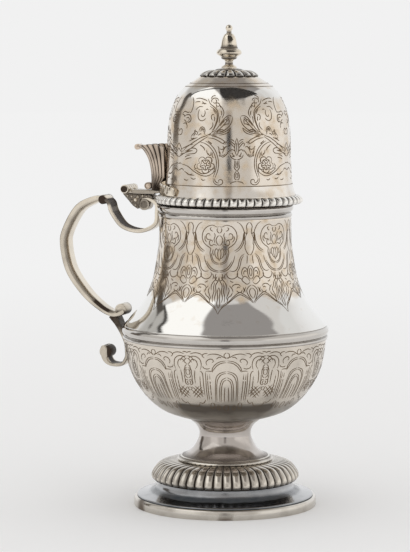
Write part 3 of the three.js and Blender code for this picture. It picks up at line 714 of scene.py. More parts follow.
# %% [markdown]
# ## Engraving
# The engraver pushes a graver through the polished metal, so each line is a fine groove that starts
# and ends in a point and goes dark with age. One line is drawn as a few points, in degrees from the
# pattern's middle and in height. It is laid on the metal as a slim closed sliver, flat on top and
# sharp below. All lines of a piece come from one long grid: its rows pinch to a point at the ends of
# each line, and merging the doubles there cuts the grid into separate slivers.

# %% Cutting lines
def engraved(name, strokes, middle, repeats, outside, axis, width):
    """Strokes are mirrored about the middle (degrees) and repeated round the axis on the outside
    line, a list of (radius, height)."""
    line = sorted(outside, key=lambda p: p[1])

    def on_metal(angle, z):
        after = next((i for i, p in enumerate(line) if p[1] > z), len(line) - 1)
        (r0, z0), (r1, z1) = line[max(after - 1, 0)], line[after]
        r = r0 + (r1 - r0) * (z - z0) / (z1 - z0)
        a = math.radians(angle)
        slope = Vector((z1 - z0, r0 - r1)).normalized()
        spot = Vector((axis + r * math.cos(a), r * math.sin(a), z))
        return spot, Vector((slope.x * math.cos(a), slope.x * math.sin(a), slope.y))

    rows = []
    for stroke in strokes:
        stations = max(6, 3 * (len(stroke) - 1))
        smooth = flowing(stroke, stations)
        for side in (-1, 1):
            for k in range(repeats):
                spots = [on_metal(middle + side * a + 360 * k / repeats, z) for a, z in smooth]
                for i, (spot, out) in enumerate(spots):
                    ahead = (spots[min(i + 1, stations)][0] - spots[max(i - 1, 0)][0]).normalized()
                    across = ahead.cross(out)
                    half = width / 2 * min(1, 0.45 + 0.75 * math.sin(math.pi * i / stations))
                    if i in (0, stations):
                        rows.append([spot] * 3)
                    else:
                        rows.append([spot - across * half + out * 0.02, spot + across * half + out * 0.02,
                                     spot - out * 0.15])
    last = len(rows) - 1
    return rolled(name, 3, last, lambda u, v: (rows[round(v * last)][round(u * 3) % 3], 0.8), sharp=20)


print("graver ready")

# %% [markdown]
# The lines of three patterns follow, each for one half of a repeat. On the dome: leafy scrolls and a
# flower in a C-scroll, with a leaf and a tassel in the middle. On the neck: three-lobed cartouches
# with foliage in them, between hanging pendants, over a fringe of leaves. On the bowl: an arcade of
# round arches with pendants and trellis between them.

# %% Dome lines
foliage_strokes = [
    [(54.7, 140.7), (50.4, 142.5), (44.7, 143.9), (39, 145.3), (33.3, 146.6), (28.3, 147.3), (23.3, 148.5)],
    [(53.6, 140.1), (47.6, 141.5), (41.9, 143), (36.1, 144.6), (30.4, 146.1), (26.1, 147.1)],
    [(23.3, 148.5), (19, 149.7), (15.1, 151.9), (11.1, 154.1), (7.6, 155), (3.6, 154.8)],
    [(3.6, 154.8), (4.4, 152.8), (6.9, 151), (11.1, 149.6), (16.1, 148.8), (23.3, 148)],
    [(21.9, 148.4), (16.1, 149.8), (10.4, 152.3), (6.1, 154.4)], [(7.6, 154.1), (6.9, 153), (7.4, 151.6)],
    [(24.7, 147.5), (19, 148), (13.3, 148.4), (9, 149.3), (5.4, 150.5)],
    [(5.4, 150.5), (6.9, 149.1), (10.4, 148.1), (16.9, 147.5)],
    [(23.3, 147), (19, 146.9), (14.7, 146.2), (11.5, 145.3), (10.1, 144.1)],
    [(26.9, 146.5), (21.9, 146.3), (17.6, 145.6), (13.3, 144.5), (10.1, 144.1)],
    [(26.9, 145.5), (24.7, 144.8), (22.6, 144.3)],
    [(26.1, 147.2), (22.6, 148.9), (19.7, 151), (17.6, 153.5), (17.4, 155.7), (19, 157.3), (22.6, 158.5),
     (26.1, 159.4), (28.3, 160.5), (29.7, 161.5)],
    [(23.3, 149.3), (20.4, 150.6), (18.6, 153), (18.4, 155.3), (19.7, 156.7), (23.3, 157.9), (26.9, 158.7)],
    [(19, 158.2), (16.1, 158.8), (12.9, 157.3), (12, 155.7), (14, 153.9)],
    [(16.3, 151.9), (15.9, 153.9), (15.3, 155)], [(20.8, 159.4), (18.6, 159.9), (16.3, 159), (15.6, 157.8)],
    [(26.3, 161.3), (25.6, 162.1), (23.6, 162.6), (21.5, 162.5)],
    [(24.6, 159.9), (25.6, 160.7), (24.6, 161.4), (21.9, 161.7), (19, 161.4), (17.7, 160.5)],
    [(23.6, 160.2), (21.9, 159.7), (20.1, 160.2), (20.4, 160.9), (21.9, 161.1)],
    [(36.3, 160.4), (34, 159.8), (32.2, 159.2)], [(41.3, 157), (40.1, 157.8), (37.6, 158.4), (33.3, 158.3)],
    [(30.4, 159.4), (33.3, 159.7), (36.5, 159.5)],
    [(37, 157.5), (38.1, 156.1), (37.6, 154.4), (36.1, 153.4), (33.3, 153), (30.4, 153.5), (29.4, 154.1)],
    [(31.7, 157.2), (30.6, 156), (31.5, 154.8), (33.6, 154.7), (34.6, 155.5)],
    [(30.4, 157.1), (29, 157.5), (27.6, 157.1)],
    [(20.8, 155.1), (22.6, 155.5), (24, 154.8), (23.6, 153.8), (22.6, 153.2)],
    [(22.6, 152.5), (22.1, 151.4), (23.3, 150.4), (25.7, 149.5)], [(19, 153), (19.6, 151.7), (21.5, 150)],
    [(44.4, 146.7), (43.1, 147.5), (41.1, 148.2), (39, 148.9), (37.6, 148.7), (37.2, 148), (39.4, 147.5)],
    [(41.5, 147), (40.4, 147.8), (38.6, 148.2)],
    [(36.1, 148.4), (35.4, 149.6), (34, 150.4), (32.2, 150.7), (30.4, 150.2), (29.6, 149.1), (30.4, 148.1),
     (28.9, 147.8)], [(34.1, 148.7), (33.6, 149.7), (32.3, 150.1), (31.1, 149.6), (30.9, 148.5)],
    [(44.4, 146.6), (43.1, 146), (40.4, 146.5)],
    [(29.4, 145.4), (24.7, 144.2), (20.4, 142.3), (17.9, 140), (16.5, 137.1), (17, 134.4), (18.6, 132.3),
     (19.7, 131.1)],
    [(34.7, 144.9), (30.4, 144.5), (26.1, 143.5), (22.2, 141.7), (19.7, 139.6), (18.4, 137.1), (19, 134.4),
     (20.4, 132.5), (21.3, 131.4)],
    [(21.3, 131.4), (21, 129.8), (18.6, 128.7), (15.4, 128.5), (12.9, 129.1), (12.9, 130.2), (14.7, 130.6),
     (16.4, 130.2), (15.6, 129.5)], [(19.7, 131.1), (19.7, 130.2), (17.9, 129.4), (15.8, 129.3)],
    [(19, 134.1), (22.6, 132.8), (26.9, 131.9), (31.9, 132), (37.6, 132.9), (42.6, 134.1), (47.6, 135.4),
     (52.6, 136), (56.1, 136.2)], [(39, 132.1), (44.7, 132.1), (48.3, 132.8), (51.9, 133.5)],
    [(34.7, 143.9), (32.2, 143.2), (29.7, 142.5)], [(27.9, 142), (27.2, 140.7), (25.9, 139.9)],
    [(26.3, 140.8), (24.9, 139.7), (23.6, 140.2), (23.7, 141.4)], [(22.2, 141.1), (22.4, 139.6), (21, 138.7)],
    [(52.4, 141), (47.6, 141.8), (42.6, 142.5), (38.6, 142.2), (37.6, 141.5), (39.7, 140.5), (45.4, 140.2),
     (51.1, 140)], [(51, 140.6), (46.1, 141.2), (41.9, 141.6)], [(51.9, 138.8), (48.3, 139.5), (44.7, 139.7)],
    [(51.1, 137.9), (47.6, 138.5), (42.9, 138.8)],
    [(55.4, 154.4), (52.6, 155.1), (49, 155.3), (46.1, 154.4), (45.7, 153), (48.1, 152.3), (50.6, 152.7)],
    [(52.2, 153.8), (49.4, 154.2), (47.6, 153.5), (49, 152.9)],
    [(50.3, 162.1), (47.2, 160.7), (45.7, 158.5), (46.4, 156.6), (47.9, 155.8)],
    [(58.3, 155.6), (55.4, 156.5), (51.1, 156.1), (47.6, 156.4)],
    [(55.4, 151.6), (52.6, 152.1), (49.7, 151.1), (50.3, 149.8)], [(60, 144.4), (57.6, 143.2), (54.7, 140.7)],
    [(60, 138.9), (57.2, 139.4), (53.6, 140.1)], [(60, 142.5), (58.3, 141.6), (55.1, 140.5)],
    [(60, 136.2), (57.9, 136.6), (56.1, 136.2)], [(60, 133.5), (57.6, 134.1), (54.7, 134.4), (52.1, 133.5)],
    [(60, 148.9), (58.3, 149.8), (56.1, 149.4), (56.4, 148), (58.3, 147.5), (60, 147.7)],
    [(1.9, 142.7), (2.8, 143.1), (4.9, 144.2), (6.3, 144.6), (7.1, 143.9), (6.1, 143.2)],
    [(1.7, 143.8), (2.6, 144.2), (4.4, 144.9), (6.1, 145.3)],
    [(0, 146.6), (1.3, 144.6), (1.9, 142.7), (1.3, 141), (0, 139.6)], [(0.2, 144.8), (0, 143), (0, 141)],
    [(1.5, 141.3), (3, 141.9), (4.8, 142), (6.2, 141.2)],
    [(7.4, 142.9), (9.7, 143.2), (11.9, 141.9), (13.1, 140.4)],
    [(15.9, 142.5), (13.6, 142.1), (11.4, 142.7), (9.4, 143.5)],
    [(15.9, 142.3), (16.1, 141.2), (15.3, 140.3)],
    [(15.3, 140.2), (12.9, 139.2), (10, 139.9), (7.4, 141.4), (5.8, 142.1)],
    [(14, 140.2), (12.2, 139.8), (10.4, 140.5)], [(0, 138.2), (2.6, 138.4), (4.9, 139.1), (6.1, 140.2)],
    [(1.7, 139.3), (3.4, 140), (4.4, 141)],
    [(2.2, 138.2), (1.9, 136.6), (2.4, 135.3), (1.1, 134.3), (0, 134)],
    [(1.1, 138), (0.6, 136.6), (1, 135.5), (0, 134.9)],
    [(0, 134), (1.5, 133.2), (2.3, 131.9), (1.6, 130.7), (0, 130.5)],
    [(0, 133.2), (0.8, 132.5), (0.9, 131.6), (0, 131.1)],
    [(6.3, 128.8), (4.4, 129.5), (2.4, 129.7), (0, 129.9)],
    [(45, 161.3), (41, 161.6), (37, 161.4), (32, 160.9), (30, 160.3)], [(45, 160), (41, 160.3), (38, 160.2)],
    [(52, 155), (48.5, 155.3), (46.5, 154.6), (45.8, 153.3), (47.5, 152.5), (49.5, 152.6)],
    [(51, 154), (49, 154.2), (48, 153.6)], [(55, 153.4), (52, 152.7), (50, 151.6)],
    [(59, 155.5), (56, 155.2), (53.5, 154.2)], [(15, 157), (14, 156), (14.3, 155)],
    [(20.5, 159.4), (19.3, 158.7), (19.8, 158)], [(23, 157.4), (21, 156.6), (20, 155.6)],
    [(21.5, 154.8), (20.6, 153.8), (21.2, 152.8)], [(12, 151.2), (9.6, 151.8), (7.4, 151.9)],
    [(13.6, 152.3), (11, 153.4), (9.2, 153.6)], [(15.5, 150.9), (13.5, 152.2), (11, 152.9)],
    [(17, 150), (14.5, 149.7), (12, 149.8)], [(10, 152.9), (8.6, 154.1), (7, 154.5)],
    [(16, 148.6), (13, 149), (10.2, 149.6)], [(19, 148.5), (16.5, 149.3), (14.4, 149.4)],
    [(27, 147.9), (21, 147.4), (17.5, 147.2)], [(41, 148.6), (40, 149.4), (39, 149.2)],
    [(33, 148.9), (32.2, 149.7), (31.4, 149.5)], [(37, 147.3), (34.5, 148), (33, 147.9)],
    [(54, 140), (49, 141), (44.5, 141.6)], [(56, 142), (51, 142.8), (45.5, 143.7), (41.5, 143.9)],
    [(58, 139.9), (52, 140.5)], [(47, 145), (42, 145.9), (37, 146.6)],
    [(31.5, 142.9), (30, 142.3), (29.4, 141.5)],
    [(26.5, 145.2), (24.6, 144.7), (23, 144)],
    [(21.3, 135.2), (25, 133.5), (29, 132.8), (33, 132.8), (37.5, 133.8), (41, 134.6)],
    [(20.6, 136.6), (20.2, 134.6), (21.4, 132.8)], [(24, 139.2), (22.8, 138.2), (23.4, 137.4)],
    [(44, 131.2), (41, 130.5), (38, 130.9)], [(33, 130.9), (31, 130.2), (28.5, 130.5)],
    [(52, 130.6), (49, 130), (46, 130.3)], [(49, 132.6), (45, 132.2), (41.5, 132.7)],
    [(38, 136.6), (40, 135.6), (39, 134.6), (37, 134.9)], [(2, 145), (4, 145.8), (6.5, 145.9)],
    [(8.5, 144.6), (10.5, 145), (12.5, 144.4)], [(1.5, 139.8), (3, 139.4), (4.4, 139.6)],
    [(16, 141.6), (15, 140.6), (15.8, 139.6), (14.2, 139.5)], [(12.8, 143.6), (11.6, 142.6), (12.4, 141.8)],
    [(17.6, 143.4), (16.2, 142.7), (16.8, 142)],
]
print(len(foliage_strokes), "drawn lines in half a repeat on the dome")

# %% [markdown]
# The flower is drawn by rule: a ring that dips between its five petals, a smaller ring inside it, a
# round heart and five veins. Three plain lines also run right round the dome.

# %% Flower and round lines
FLOWER_ANGLE, FLOWER_HEIGHT = 28.9, 136.2


def in_flower(a, wide, high):
    """The point at angle a on an oval round the flower's centre."""
    return FLOWER_ANGLE + wide * math.cos(a), FLOWER_HEIGHT + high * math.sin(a)


petal_ring = []
for a in [math.radians(9 * i) for i in range(41)]:
    reach = 0.62 + 0.38 * abs(math.sin(2.5 * a)) ** 0.6
    petal_ring.append(in_flower(a + 0.3, 8.6 * reach, 3.3 * reach))
inner_ring = [(FLOWER_ANGLE + 0.62 * (a - FLOWER_ANGLE), FLOWER_HEIGHT + 0.62 * (z - FLOWER_HEIGHT))
              for a, z in petal_ring]
heart = [in_flower(math.radians(30 * i), 1.3, 0.55) for i in range(13)]
vein_angles = [math.radians(72 * i + 53) for i in range(5)]
veins = [[in_flower(a, 1.4, 0.6), in_flower(a, 6, 2.3)] for a in vein_angles]
round_lines = [[(3 * i - 2, z) for i in range(22)] for z in (127.9, 166, 167.2)]
foliage_strokes += [petal_ring, inner_ring, heart, *veins, *round_lines]
print(len(foliage_strokes), "lines in half a repeat with the flower and round lines")

# %% Neck lines
cartouche_strokes = [
    [(0, 98), (2.9, 98.2), (5.6, 99.1), (7.1, 100.8), (7.9, 102.6), (7.4, 104.1), (10.7, 105.2),
     (13.4, 106.4), (14.9, 108.2), (14.4, 110.2), (12.5, 111.7), (9.6, 112.7), (5.7, 113.1), (2.1, 112.4),
     (0, 112.6)],
    [(0, 98.5), (2.5, 98.7), (4.8, 99.5), (6.2, 101.1), (6.7, 102.6)],
    [(13.1, 102.6), (16.4, 103.5), (19.3, 105.1), (21.1, 107.3), (21.4, 109.8), (20, 112), (17.5, 113.6),
     (14.3, 114.4)], [(12.3, 103.1), (15.4, 104), (18.2, 105.5), (20, 107.5), (20.4, 109.6)],
    [(0, 95.1), (3.2, 95.3), (6.8, 96), (9.6, 97.5), (11.8, 99.5), (13, 101.6)],
    [(0, 95.6), (2.9, 95.8), (6.1, 96.6), (8.6, 97.9), (10.6, 99.5)],
    [(25.7, 114.1), (24.1, 113.6), (23.1, 112.5), (23.7, 110.9), (22.7, 109.1)],
    [(24.6, 110.5), (22.1, 108.2), (22.3, 105.9), (21.7, 105.4), (22, 103.9), (23.6, 102.3), (24.6, 101.7),
     (25.7, 101.6)], [(23.6, 109.5), (21.1, 110.2), (20.7, 107.7), (21.1, 105.7)],
    [(23.4, 101.7), (23.3, 100), (22.8, 98.1)],
    [(25.7, 97.7), (24.1, 97), (23, 95.5), (23.6, 93.6), (24.6, 92.7), (25.7, 92.4)],
    [(25.7, 96.8), (24.6, 95.7), (24.9, 94.1), (25.7, 93.6)],
    [(21.4, 102.2), (18.2, 101.1), (16.4, 99.3), (15.4, 97.3), (13.6, 95.9), (11.1, 95.4), (8.2, 95.7)],
    [(20.6, 101.5), (18.4, 100), (17.4, 98.1), (16.1, 96.4), (14.3, 95)],
    [(14.3, 95.7), (14.9, 94.5), (14.1, 93.4), (11.4, 92.6), (8.6, 92.7), (6.6, 93.5), (6, 94.6),
     (7.1, 95.2)],
    [(15, 95.4), (14.3, 94.1), (15.4, 93.1), (17.3, 92.7), (18, 92.2)],
    [(23, 95), (22.3, 96.4), (20.3, 96.8), (18.6, 95.9), (18.1, 94.5), (19.3, 93.1)],
    [(22.1, 95), (21.1, 95.7), (19.9, 95), (20, 94)],
    [(24.6, 91.4), (23.6, 92.4), (21.1, 93.5), (19.1, 93.1), (18.2, 92), (20, 91.1), (21.9, 90.5),
     (23.6, 90.8), (24.6, 91.4)], [(17.1, 89.5), (15.4, 90.4), (12.9, 90.5), (10.7, 90), (10.1, 89.3)],
    [(18, 88.7), (17, 87.6), (14.9, 87.5), (13.4, 88.2)], [(16.4, 89.1), (15, 89.5), (13.6, 89)],
    [(10.9, 87.5), (10, 88.9), (7.9, 90.1)], [(10.4, 87.6), (9.3, 86.4), (7.1, 85.5), (6, 83.5)],
    [(7, 89.5), (7.9, 88.2), (7, 86.8), (6, 85.5), (6.6, 84.5)],
    [(0, 93.6), (0.6, 91.8), (2.5, 90.1), (2, 87.7), (2.9, 85.5), (2.1, 83.6)],
    [(1.3, 93.7), (2.7, 92.3), (4.6, 91.3), (5.9, 89.9), (5.6, 88.2)], [(4.1, 93.6), (2, 92), (0, 91.9)],
    [(3.1, 91.4), (4, 89.5), (3.6, 87.7), (4.6, 85.8), (4.1, 83.6)],
    [(0, 89.5), (1, 87.7), (0.6, 85.5), (1.1, 83.2), (0, 81.5)], [(2.1, 94.6), (3, 93.6), (2, 92.6)],
    [(5.4, 94.6), (4.4, 93.6), (5, 92.3)], [(8.6, 92), (10, 91.4), (11.4, 91.3)],
    [(25.4, 83.3), (22.9, 84.6), (19.3, 85.9), (16.4, 86.6), (13.6, 86.2), (10, 84.8), (6.4, 83.3),
     (3.6, 82.3), (1.3, 80.9), (0, 79.4)],
    [(24.9, 84.1), (22.1, 85.5), (18.9, 86.7), (16.3, 87.4), (13.9, 87), (10.7, 85.7), (7.4, 84.1),
     (4.2, 83.1), (1.6, 81.7)],
    [(25.7, 90.2), (23.6, 89.7), (21.7, 88.6), (21.4, 87.5), (22.7, 85.9), (24.3, 84.6), (25.7, 83.6)],
    [(25.7, 89.1), (24.1, 88.5), (23.3, 87.5), (24.1, 86.1), (25.7, 85)],
    [(21.1, 89.5), (19.9, 88.6), (20.1, 87.3)], [(18.6, 89.5), (19.3, 88.2), (18.2, 87.2)],
    [(0, 99.3), (1.1, 100.9), (1.3, 102.7), (0, 104.3)],
    [(0, 100), (2.1, 100.5), (3.6, 101.8), (3.7, 103.3), (2.3, 104.1), (1.1, 103.1)],
    [(4.3, 101.4), (5.6, 102.5), (5.1, 103.9)],
    [(0, 105.2), (1.8, 105.9), (2.9, 107.3), (1.8, 108.6), (0, 109.2)],
    [(2.1, 105.2), (4.6, 105.7), (7.1, 105.2), (8.6, 106.1), (7.9, 107.2), (6.1, 107.2), (6.3, 106.4)],
    [(3.7, 106.1), (4.6, 107.7), (3.6, 109.1), (4.6, 110.2)],
    [(7.1, 107.7), (9.6, 107.5), (11.4, 108.4), (10.7, 109.6), (8.6, 109.8), (7.9, 108.9)],
    [(5.4, 110.7), (7.1, 111.1), (7.9, 111.8), (6.4, 112.2)],
    [(0, 110), (1.4, 110.5), (2.1, 111.4), (1.1, 111.9)], [(10.7, 106.4), (12.5, 107.5), (12.3, 109.1)],
]
print(len(cartouche_strokes), "lines in half a repeat on the neck")

# %% Bowl lines
arcade_strokes = [
    [(12.3, 45.3), (12.3, 49.8), (12.1, 54.4), (12.1, 58.1)],
    [(12.1, 58.1), (10.5, 58.3), (8.4, 58.3), (8, 59.4), (6.4, 60.9), (3.7, 62), (0, 62.4)],
    [(8.4, 57.7), (7.1, 59.1), (5.5, 60.4), (3.1, 61.4), (0, 61.7)],
    [(7.1, 45.3), (6.9, 49.8), (6.4, 54.4), (5.5, 56.4), (3.4, 57.6), (0, 58.2)],
    [(6.3, 45.3), (6.1, 49.8), (5.6, 53.8), (4.6, 55.7), (2.8, 57), (0, 57.5)],
    [(4.3, 45.3), (4.3, 48.9), (3.9, 52.5), (2.6, 54.8), (0, 55.8)],
    [(3.3, 45.3), (3.3, 48.9), (2.9, 52.1), (1.9, 54.1), (0, 54.9)], [(1.4, 45.3), (1.3, 48.9), (1, 52.1)],
    [(9.6, 45.7), (9.6, 51.6), (9.7, 57.3)], [(11.1, 45.7), (11.1, 51.6), (11, 57.3)],
    [(13.7, 47.5), (13.7, 52.1), (13.7, 56.6), (14.4, 57.9), (15.4, 58.2)],
    [(15.5, 47.5), (15.6, 52.1), (15.4, 56.6)],
    [(15.1, 58.5), (14.3, 60.7), (15.1, 62.8), (17.6, 63.9), (20.4, 63.7), (21.7, 62.7)],
    [(18.1, 58.7), (16.6, 60.5), (17.3, 62.2), (19.1, 62.7), (20.3, 62.2), (19.7, 61.4)],
    [(18.6, 53), (18.6, 56.1), (18.1, 58.7)], [(20.3, 52.5), (20.3, 54.8), (20, 56.6)],
    [(22.6, 64), (24.1, 63.8), (25.7, 63.1), (26.6, 61.9)],
    [(22.6, 63.1), (23.7, 62.7), (24.3, 61.9), (23.6, 61.2), (22.6, 61)],
    [(22.6, 59.4), (24.4, 58.9), (24.6, 57.1), (23.7, 55.7), (22.6, 55.4)],
    [(22.6, 58.7), (23.6, 58.2), (23.6, 57.1), (22.6, 56.4)],
    [(22.6, 54.8), (24.4, 54.4), (24.9, 53.5), (24.1, 52.7), (22.6, 52.5)],
    [(22.6, 54.2), (23.5, 53.8), (23.4, 53.2), (22.6, 53)], [(22.6, 51.8), (23.7, 51.1), (22.6, 50.2)],
    [(22.3, 60.7), (21.1, 60), (20.9, 58.9), (21.6, 58)],
    [(10.9, 60.4), (11.6, 61.6), (10.4, 62.7), (8.4, 63), (7.4, 62.2), (8.4, 61.5)],
    [(10.9, 64.4), (8, 65), (4.4, 64.7), (1.9, 63.8), (0, 63.6)],
    [(12.3, 63.3), (13.7, 64.2), (12.6, 65), (10.4, 65.2)], [(0, 65.5), (1.3, 65), (1.4, 63.8), (0, 63.1)],
    [(5.9, 62.9), (4.3, 63.8), (2.9, 63.5)], [(20.9, 64.7), (18, 65.3), (15.1, 65.1), (13.6, 64.4)],
    [(22.6, 65.2), (21.6, 65.6), (19.8, 65.6)], [(13.7, 60.3), (12.9, 59.4), (10.9, 59.1), (9.3, 59.5)],
    [(21.4, 52), (18, 49.8), (14.6, 47.5)], [(19.4, 52.3), (16.2, 50.2), (14.1, 48.7)],
    [(21.9, 50.5), (19.1, 48.7), (16.6, 47.1)], [(14.6, 52), (18, 49.7), (21.4, 47.5)],
    [(14.1, 50.7), (17.1, 48.7), (19.8, 47)], [(16.2, 52.3), (19.4, 50.2), (21.7, 48.7)],
    [(9.7, 45.3), (10.9, 43.9), (10, 42.5), (8.4, 43.2), (8.1, 44.6), (9.7, 45.3)],
    [(0, 44.4), (1.4, 43.7), (1.6, 42.3), (0, 41.5)], [(13.7, 46.6), (14.8, 45.3), (16.6, 44.8), (18, 45.3)],
    [(18, 45.3), (19.1, 43.9), (20.9, 43.5), (22.6, 43.6)],
    [(5.5, 44.4), (6.4, 43.2), (5.5, 41.9), (4.4, 43.1), (5.5, 44.4)],
]
print(len(arcade_strokes), "lines in half a repeat on the bowl")

# %% [markdown]
# The patterns are placed on the metal that was turned before. The dome's has three repeats, the
# neck's seven and the bowl's eight. Each rides with its own piece and replaces nothing.

# %% Engraved patterns
patterns = {
    "dome_engraving": ("lid", foliage_strokes, SIGHT + 7, 3, dome_outside, LID_X, 0.36),
    "neck_engraving": ("pot", cartouche_strokes, SIGHT - 4.9, 7, neck_outside, BODY_X, 0.35),
    "bowl_engraving": ("pot", arcade_strokes, SIGHT + 0.9, 8, bowl_outside, BODY_X, 0.34),
}
for name, (body, *drawing) in patterns.items():
    placed(engraved(name, *drawing), groove, body, "engraved_silver")

# %% [markdown]
# ## Handle
# The handle is two C-scrolls of bent bar, soldered end to end, and a tail. Each bar is a grid rolled round
# its own section and carried along a curve in the handle's plane. The section is drawn as a few points, so it
# can have light borders with a hollow between them, which holds tarnish and painted shade.

# %% Bending a bar
def bent_bar(name, path, section, half_thick, half_wide, tips=(0.5, 0.5), across=64, along=140, grime_and_shade=None):
    """The path is (distance from the body's axis, height). The section is (share of the half width, share of
    the half thickness, tarnish and painted shade), and each end is rounded over by its tip share."""
    line, closed, rows = flowing(path, 400), [*section, section[0]], 7

    def place(u, v):
        step = round(v * along)
        t = min(max((step - rows) / (along - 2 * rows), 0), 1)
        r, z = on_line(line, t)
        a, b = on_line(line, t - 0.006), on_line(line, t + 0.006)
        run = Vector((b[0] - a[0], b[1] - a[1])).normalized()
        side, out, soil_and_shade = on_line(closed, u)
        past = max(rows - step, step - along + rows, 0) / rows
        thick = half_thick(t) * math.cos(past * math.pi / 2)
        ahead = half_thick(t) * math.sin(past * math.pi / 2) * (-tips[0] if t < 0.5 else tips[1])
        r += run.x * ahead - run.y * thick * out
        z += run.y * ahead + run.x * thick * out
        return (BODY_X - r, side * half_wide(t), z), grime_and_shade(t, soil_and_shade) if grime_and_shade else soil_and_shade

    return rolled(name, across, along, place, sharp=45)


def drum(name, r, z, radius, width, y=0, dish=0.0, faces=48, soil_and_shade_inside=0.9, soil_and_shade_outside=0.15):
    """A short round bar across the handle, with a hollow in each end if it has a dish. The middle of each end
    and the rest take their own values of tarnish and painted shade.
    """
    spot = Vector((BODY_X - r, y, z)) * MM
    piece = new_piece(name, bpy.ops.mesh.primitive_cylinder_add, vertices=faces, radius=radius * MM,
                      depth=width * MM, location=spot, rotation=(math.pi / 2, 0, 0))
    bpy.ops.object.transform_apply(location=True, rotation=True, scale=True)
    if dish:
        bpy.ops.object.mode_set(mode="EDIT")
        bpy.ops.mesh.select_mode(type="FACE")
        bpy.ops.mesh.select_all(action="DESELECT")
        bpy.ops.object.mode_set(mode="OBJECT")
        for face in piece.data.polygons:
            face.select = abs(face.normal.y) > 0.9
        bpy.ops.object.mode_set(mode="EDIT")
        bpy.ops.mesh.inset(thickness=radius * 0.3 * MM, depth=0, use_individual=True)
        bpy.ops.mesh.inset(thickness=radius * 0.12 * MM, depth=-dish * MM, use_individual=True)
        bpy.ops.mesh.inset(thickness=radius * 0.25 * MM, depth=dish * 0.7 * MM, use_individual=True)
        bpy.ops.object.mode_set(mode="OBJECT")
    soften(piece, min(radius, width) * 0.1)
    centre = spot / MM
    soil_and_shade = []
    for vertex in piece.data.vertices:
        p = vertex.co / MM - centre
        inside = math.hypot(p.x, p.z) < 0.68 * radius and abs(p.y) > 0.3 * width
        value = soil_and_shade_inside if inside else soil_and_shade_outside
        soil_and_shade.append(value(p) if callable(value) else value)
    keep_soil_and_shade(piece, soil_and_shade)
    return piece


def block(name, outline, width, y=0, edge=0.15, soil_and_shade=0.3):
    """A plate cut to an outline of (distance, height), lying across the handle's plane."""
    piece = new_piece(name, bpy.ops.mesh.primitive_circle_add, vertices=len(outline), radius=0.01,
                      fill_type="NGON")
    for vertex, (r, z) in zip(piece.data.vertices, outline):
        vertex.co = Vector((BODY_X - r, y - width / 2, z)) * MM

    def thicken():
        bpy.ops.mesh.extrude_region_move(TRANSFORM_OT_translate={"value": (0, width * MM, 0)})
        bpy.ops.mesh.select_all(action="SELECT")

    whole_mesh(piece, thicken, weld)
    soften(piece, edge)
    keep_soil_and_shade(piece, [soil_and_shade] * len(piece.data.vertices))
    return piece


def joined(name, *parts):
    """Joins several parts into one piece."""
    bpy.ops.object.select_all(action="DESELECT")
    for part in parts:
        part.select_set(True)
    bpy.context.view_layer.objects.active = parts[0]
    bpy.ops.object.join()
    parts[0].name = name
    return parts[0]


print("bars, drums and blocks ready")

# %% [markdown]
# The upper scroll is a thin band. It starts in a small volute under the hinge, presses on the neck, and
# swings out to the top of the loop. Its hollow face is darkened with tarnish and painted shade, its edges
# stay bright, and the whole band darkens into painted shade where it meets the knot of the loop.

# %% Upper scroll
band = [(1, -0.6, 0), (1, 0.6, 0), (0.97, 1, 0), (0.91, 1.05, 0), (0.85, 0.75, 1), (0.45, 0.55, 1.1),
        (0, 0.5, 1.1), (-0.45, 0.55, 1.1), (-0.85, 0.75, 1), (-0.91, 1.05, 0), (-0.97, 1, 0),
        (-1, 0.6, 0), (-1, -0.6, 0), (-0.94, -1, 0.6), (-0.5, -1, 0.1), (0, -1, 0.2), (0.5, -1, 0.1),
        (0.94, -1, 0.6)]
scroll_path = [(35.26, 119.41), (32.78, 121.55), (28.30, 119.49), (27.8, 115.65), (28.59, 111.01),
               (34.59, 108.3), (41.82, 110.0), (46.2, 115.42), (47.5, 119.04), (48.8, 120.5)]


def scroll_grime_and_shade(t, soil_and_shade):
    # The hollow is fainter near the volute and over a short stretch further on, and the whole band darkens
    # into painted shade by the knot.
    lighter = 0.2 * ease(t, 0.76, 0.8) * ease(t, 0.86, 0.82)
    return soil_and_shade * (0.45 + 0.55 * ease(t, 0.1, 0.3) - lighter) + 0.85 * ease(t, 0.84, 0.9)


scroll = bent_bar(
    "scroll", scroll_path, band, lambda t: 0.65 * (1 + 0.15 * math.sin(math.pi * t) ** 2),
    lambda t: (5 + 3.6 * ease(t, 0.3, 0.8)) / 2, grime_and_shade=scroll_grime_and_shade,
)
volute = drum("volute", 33.0, 118.9, 2.25, 5.6, dish=0.3, soil_and_shade_inside=0.75, soil_and_shade_outside=0.5)
placed(joined("upper_scroll", scroll, volute), handled, "pot", "worn_silver", "handle_upper_scroll")

# %% [markdown]
# The loop is heavier. Its outer part is a flat bar with rounded edges, and a narrower rib runs along
# its finger side, with a hollow on each side of the rib. It starts in a small knot and ends in a roll.

# %% Loop
half_ribbed = [(0, 0.94, 0.1), (0.35, 0.9, 0.2), (0.7, 0.96, 0.1), (0.8, 1.02, 0.1), (0.95, 0.94, 0.4),
               (1, 0.7, 0.1), (1, 0.1, 0.1), (0.99, -0.15, 0.3), (0.94, -0.4, 0.52), (0.86, -0.6, 0.52),
               (0.76, -0.75, 0.36), (0.66, -0.92, 0.1), (0.55, -1, 0), (0.3, -1.02, 0), (0, -1.02, 0)]
ribbed = half_ribbed + [(-side, out, soil_and_shade) for side, out, soil_and_shade in half_ribbed[::-1][1:-1]]
loop_path = [(50.02, 120.79), (53.7, 120.5), (60.6, 116.8), (65.8, 108.01), (66.7, 101.77), (64.3, 91.95),
             (58.1, 83.13), (51.67, 77.5), (47.01, 75.0), (44.19, 75.0), (42.6, 75.7)]


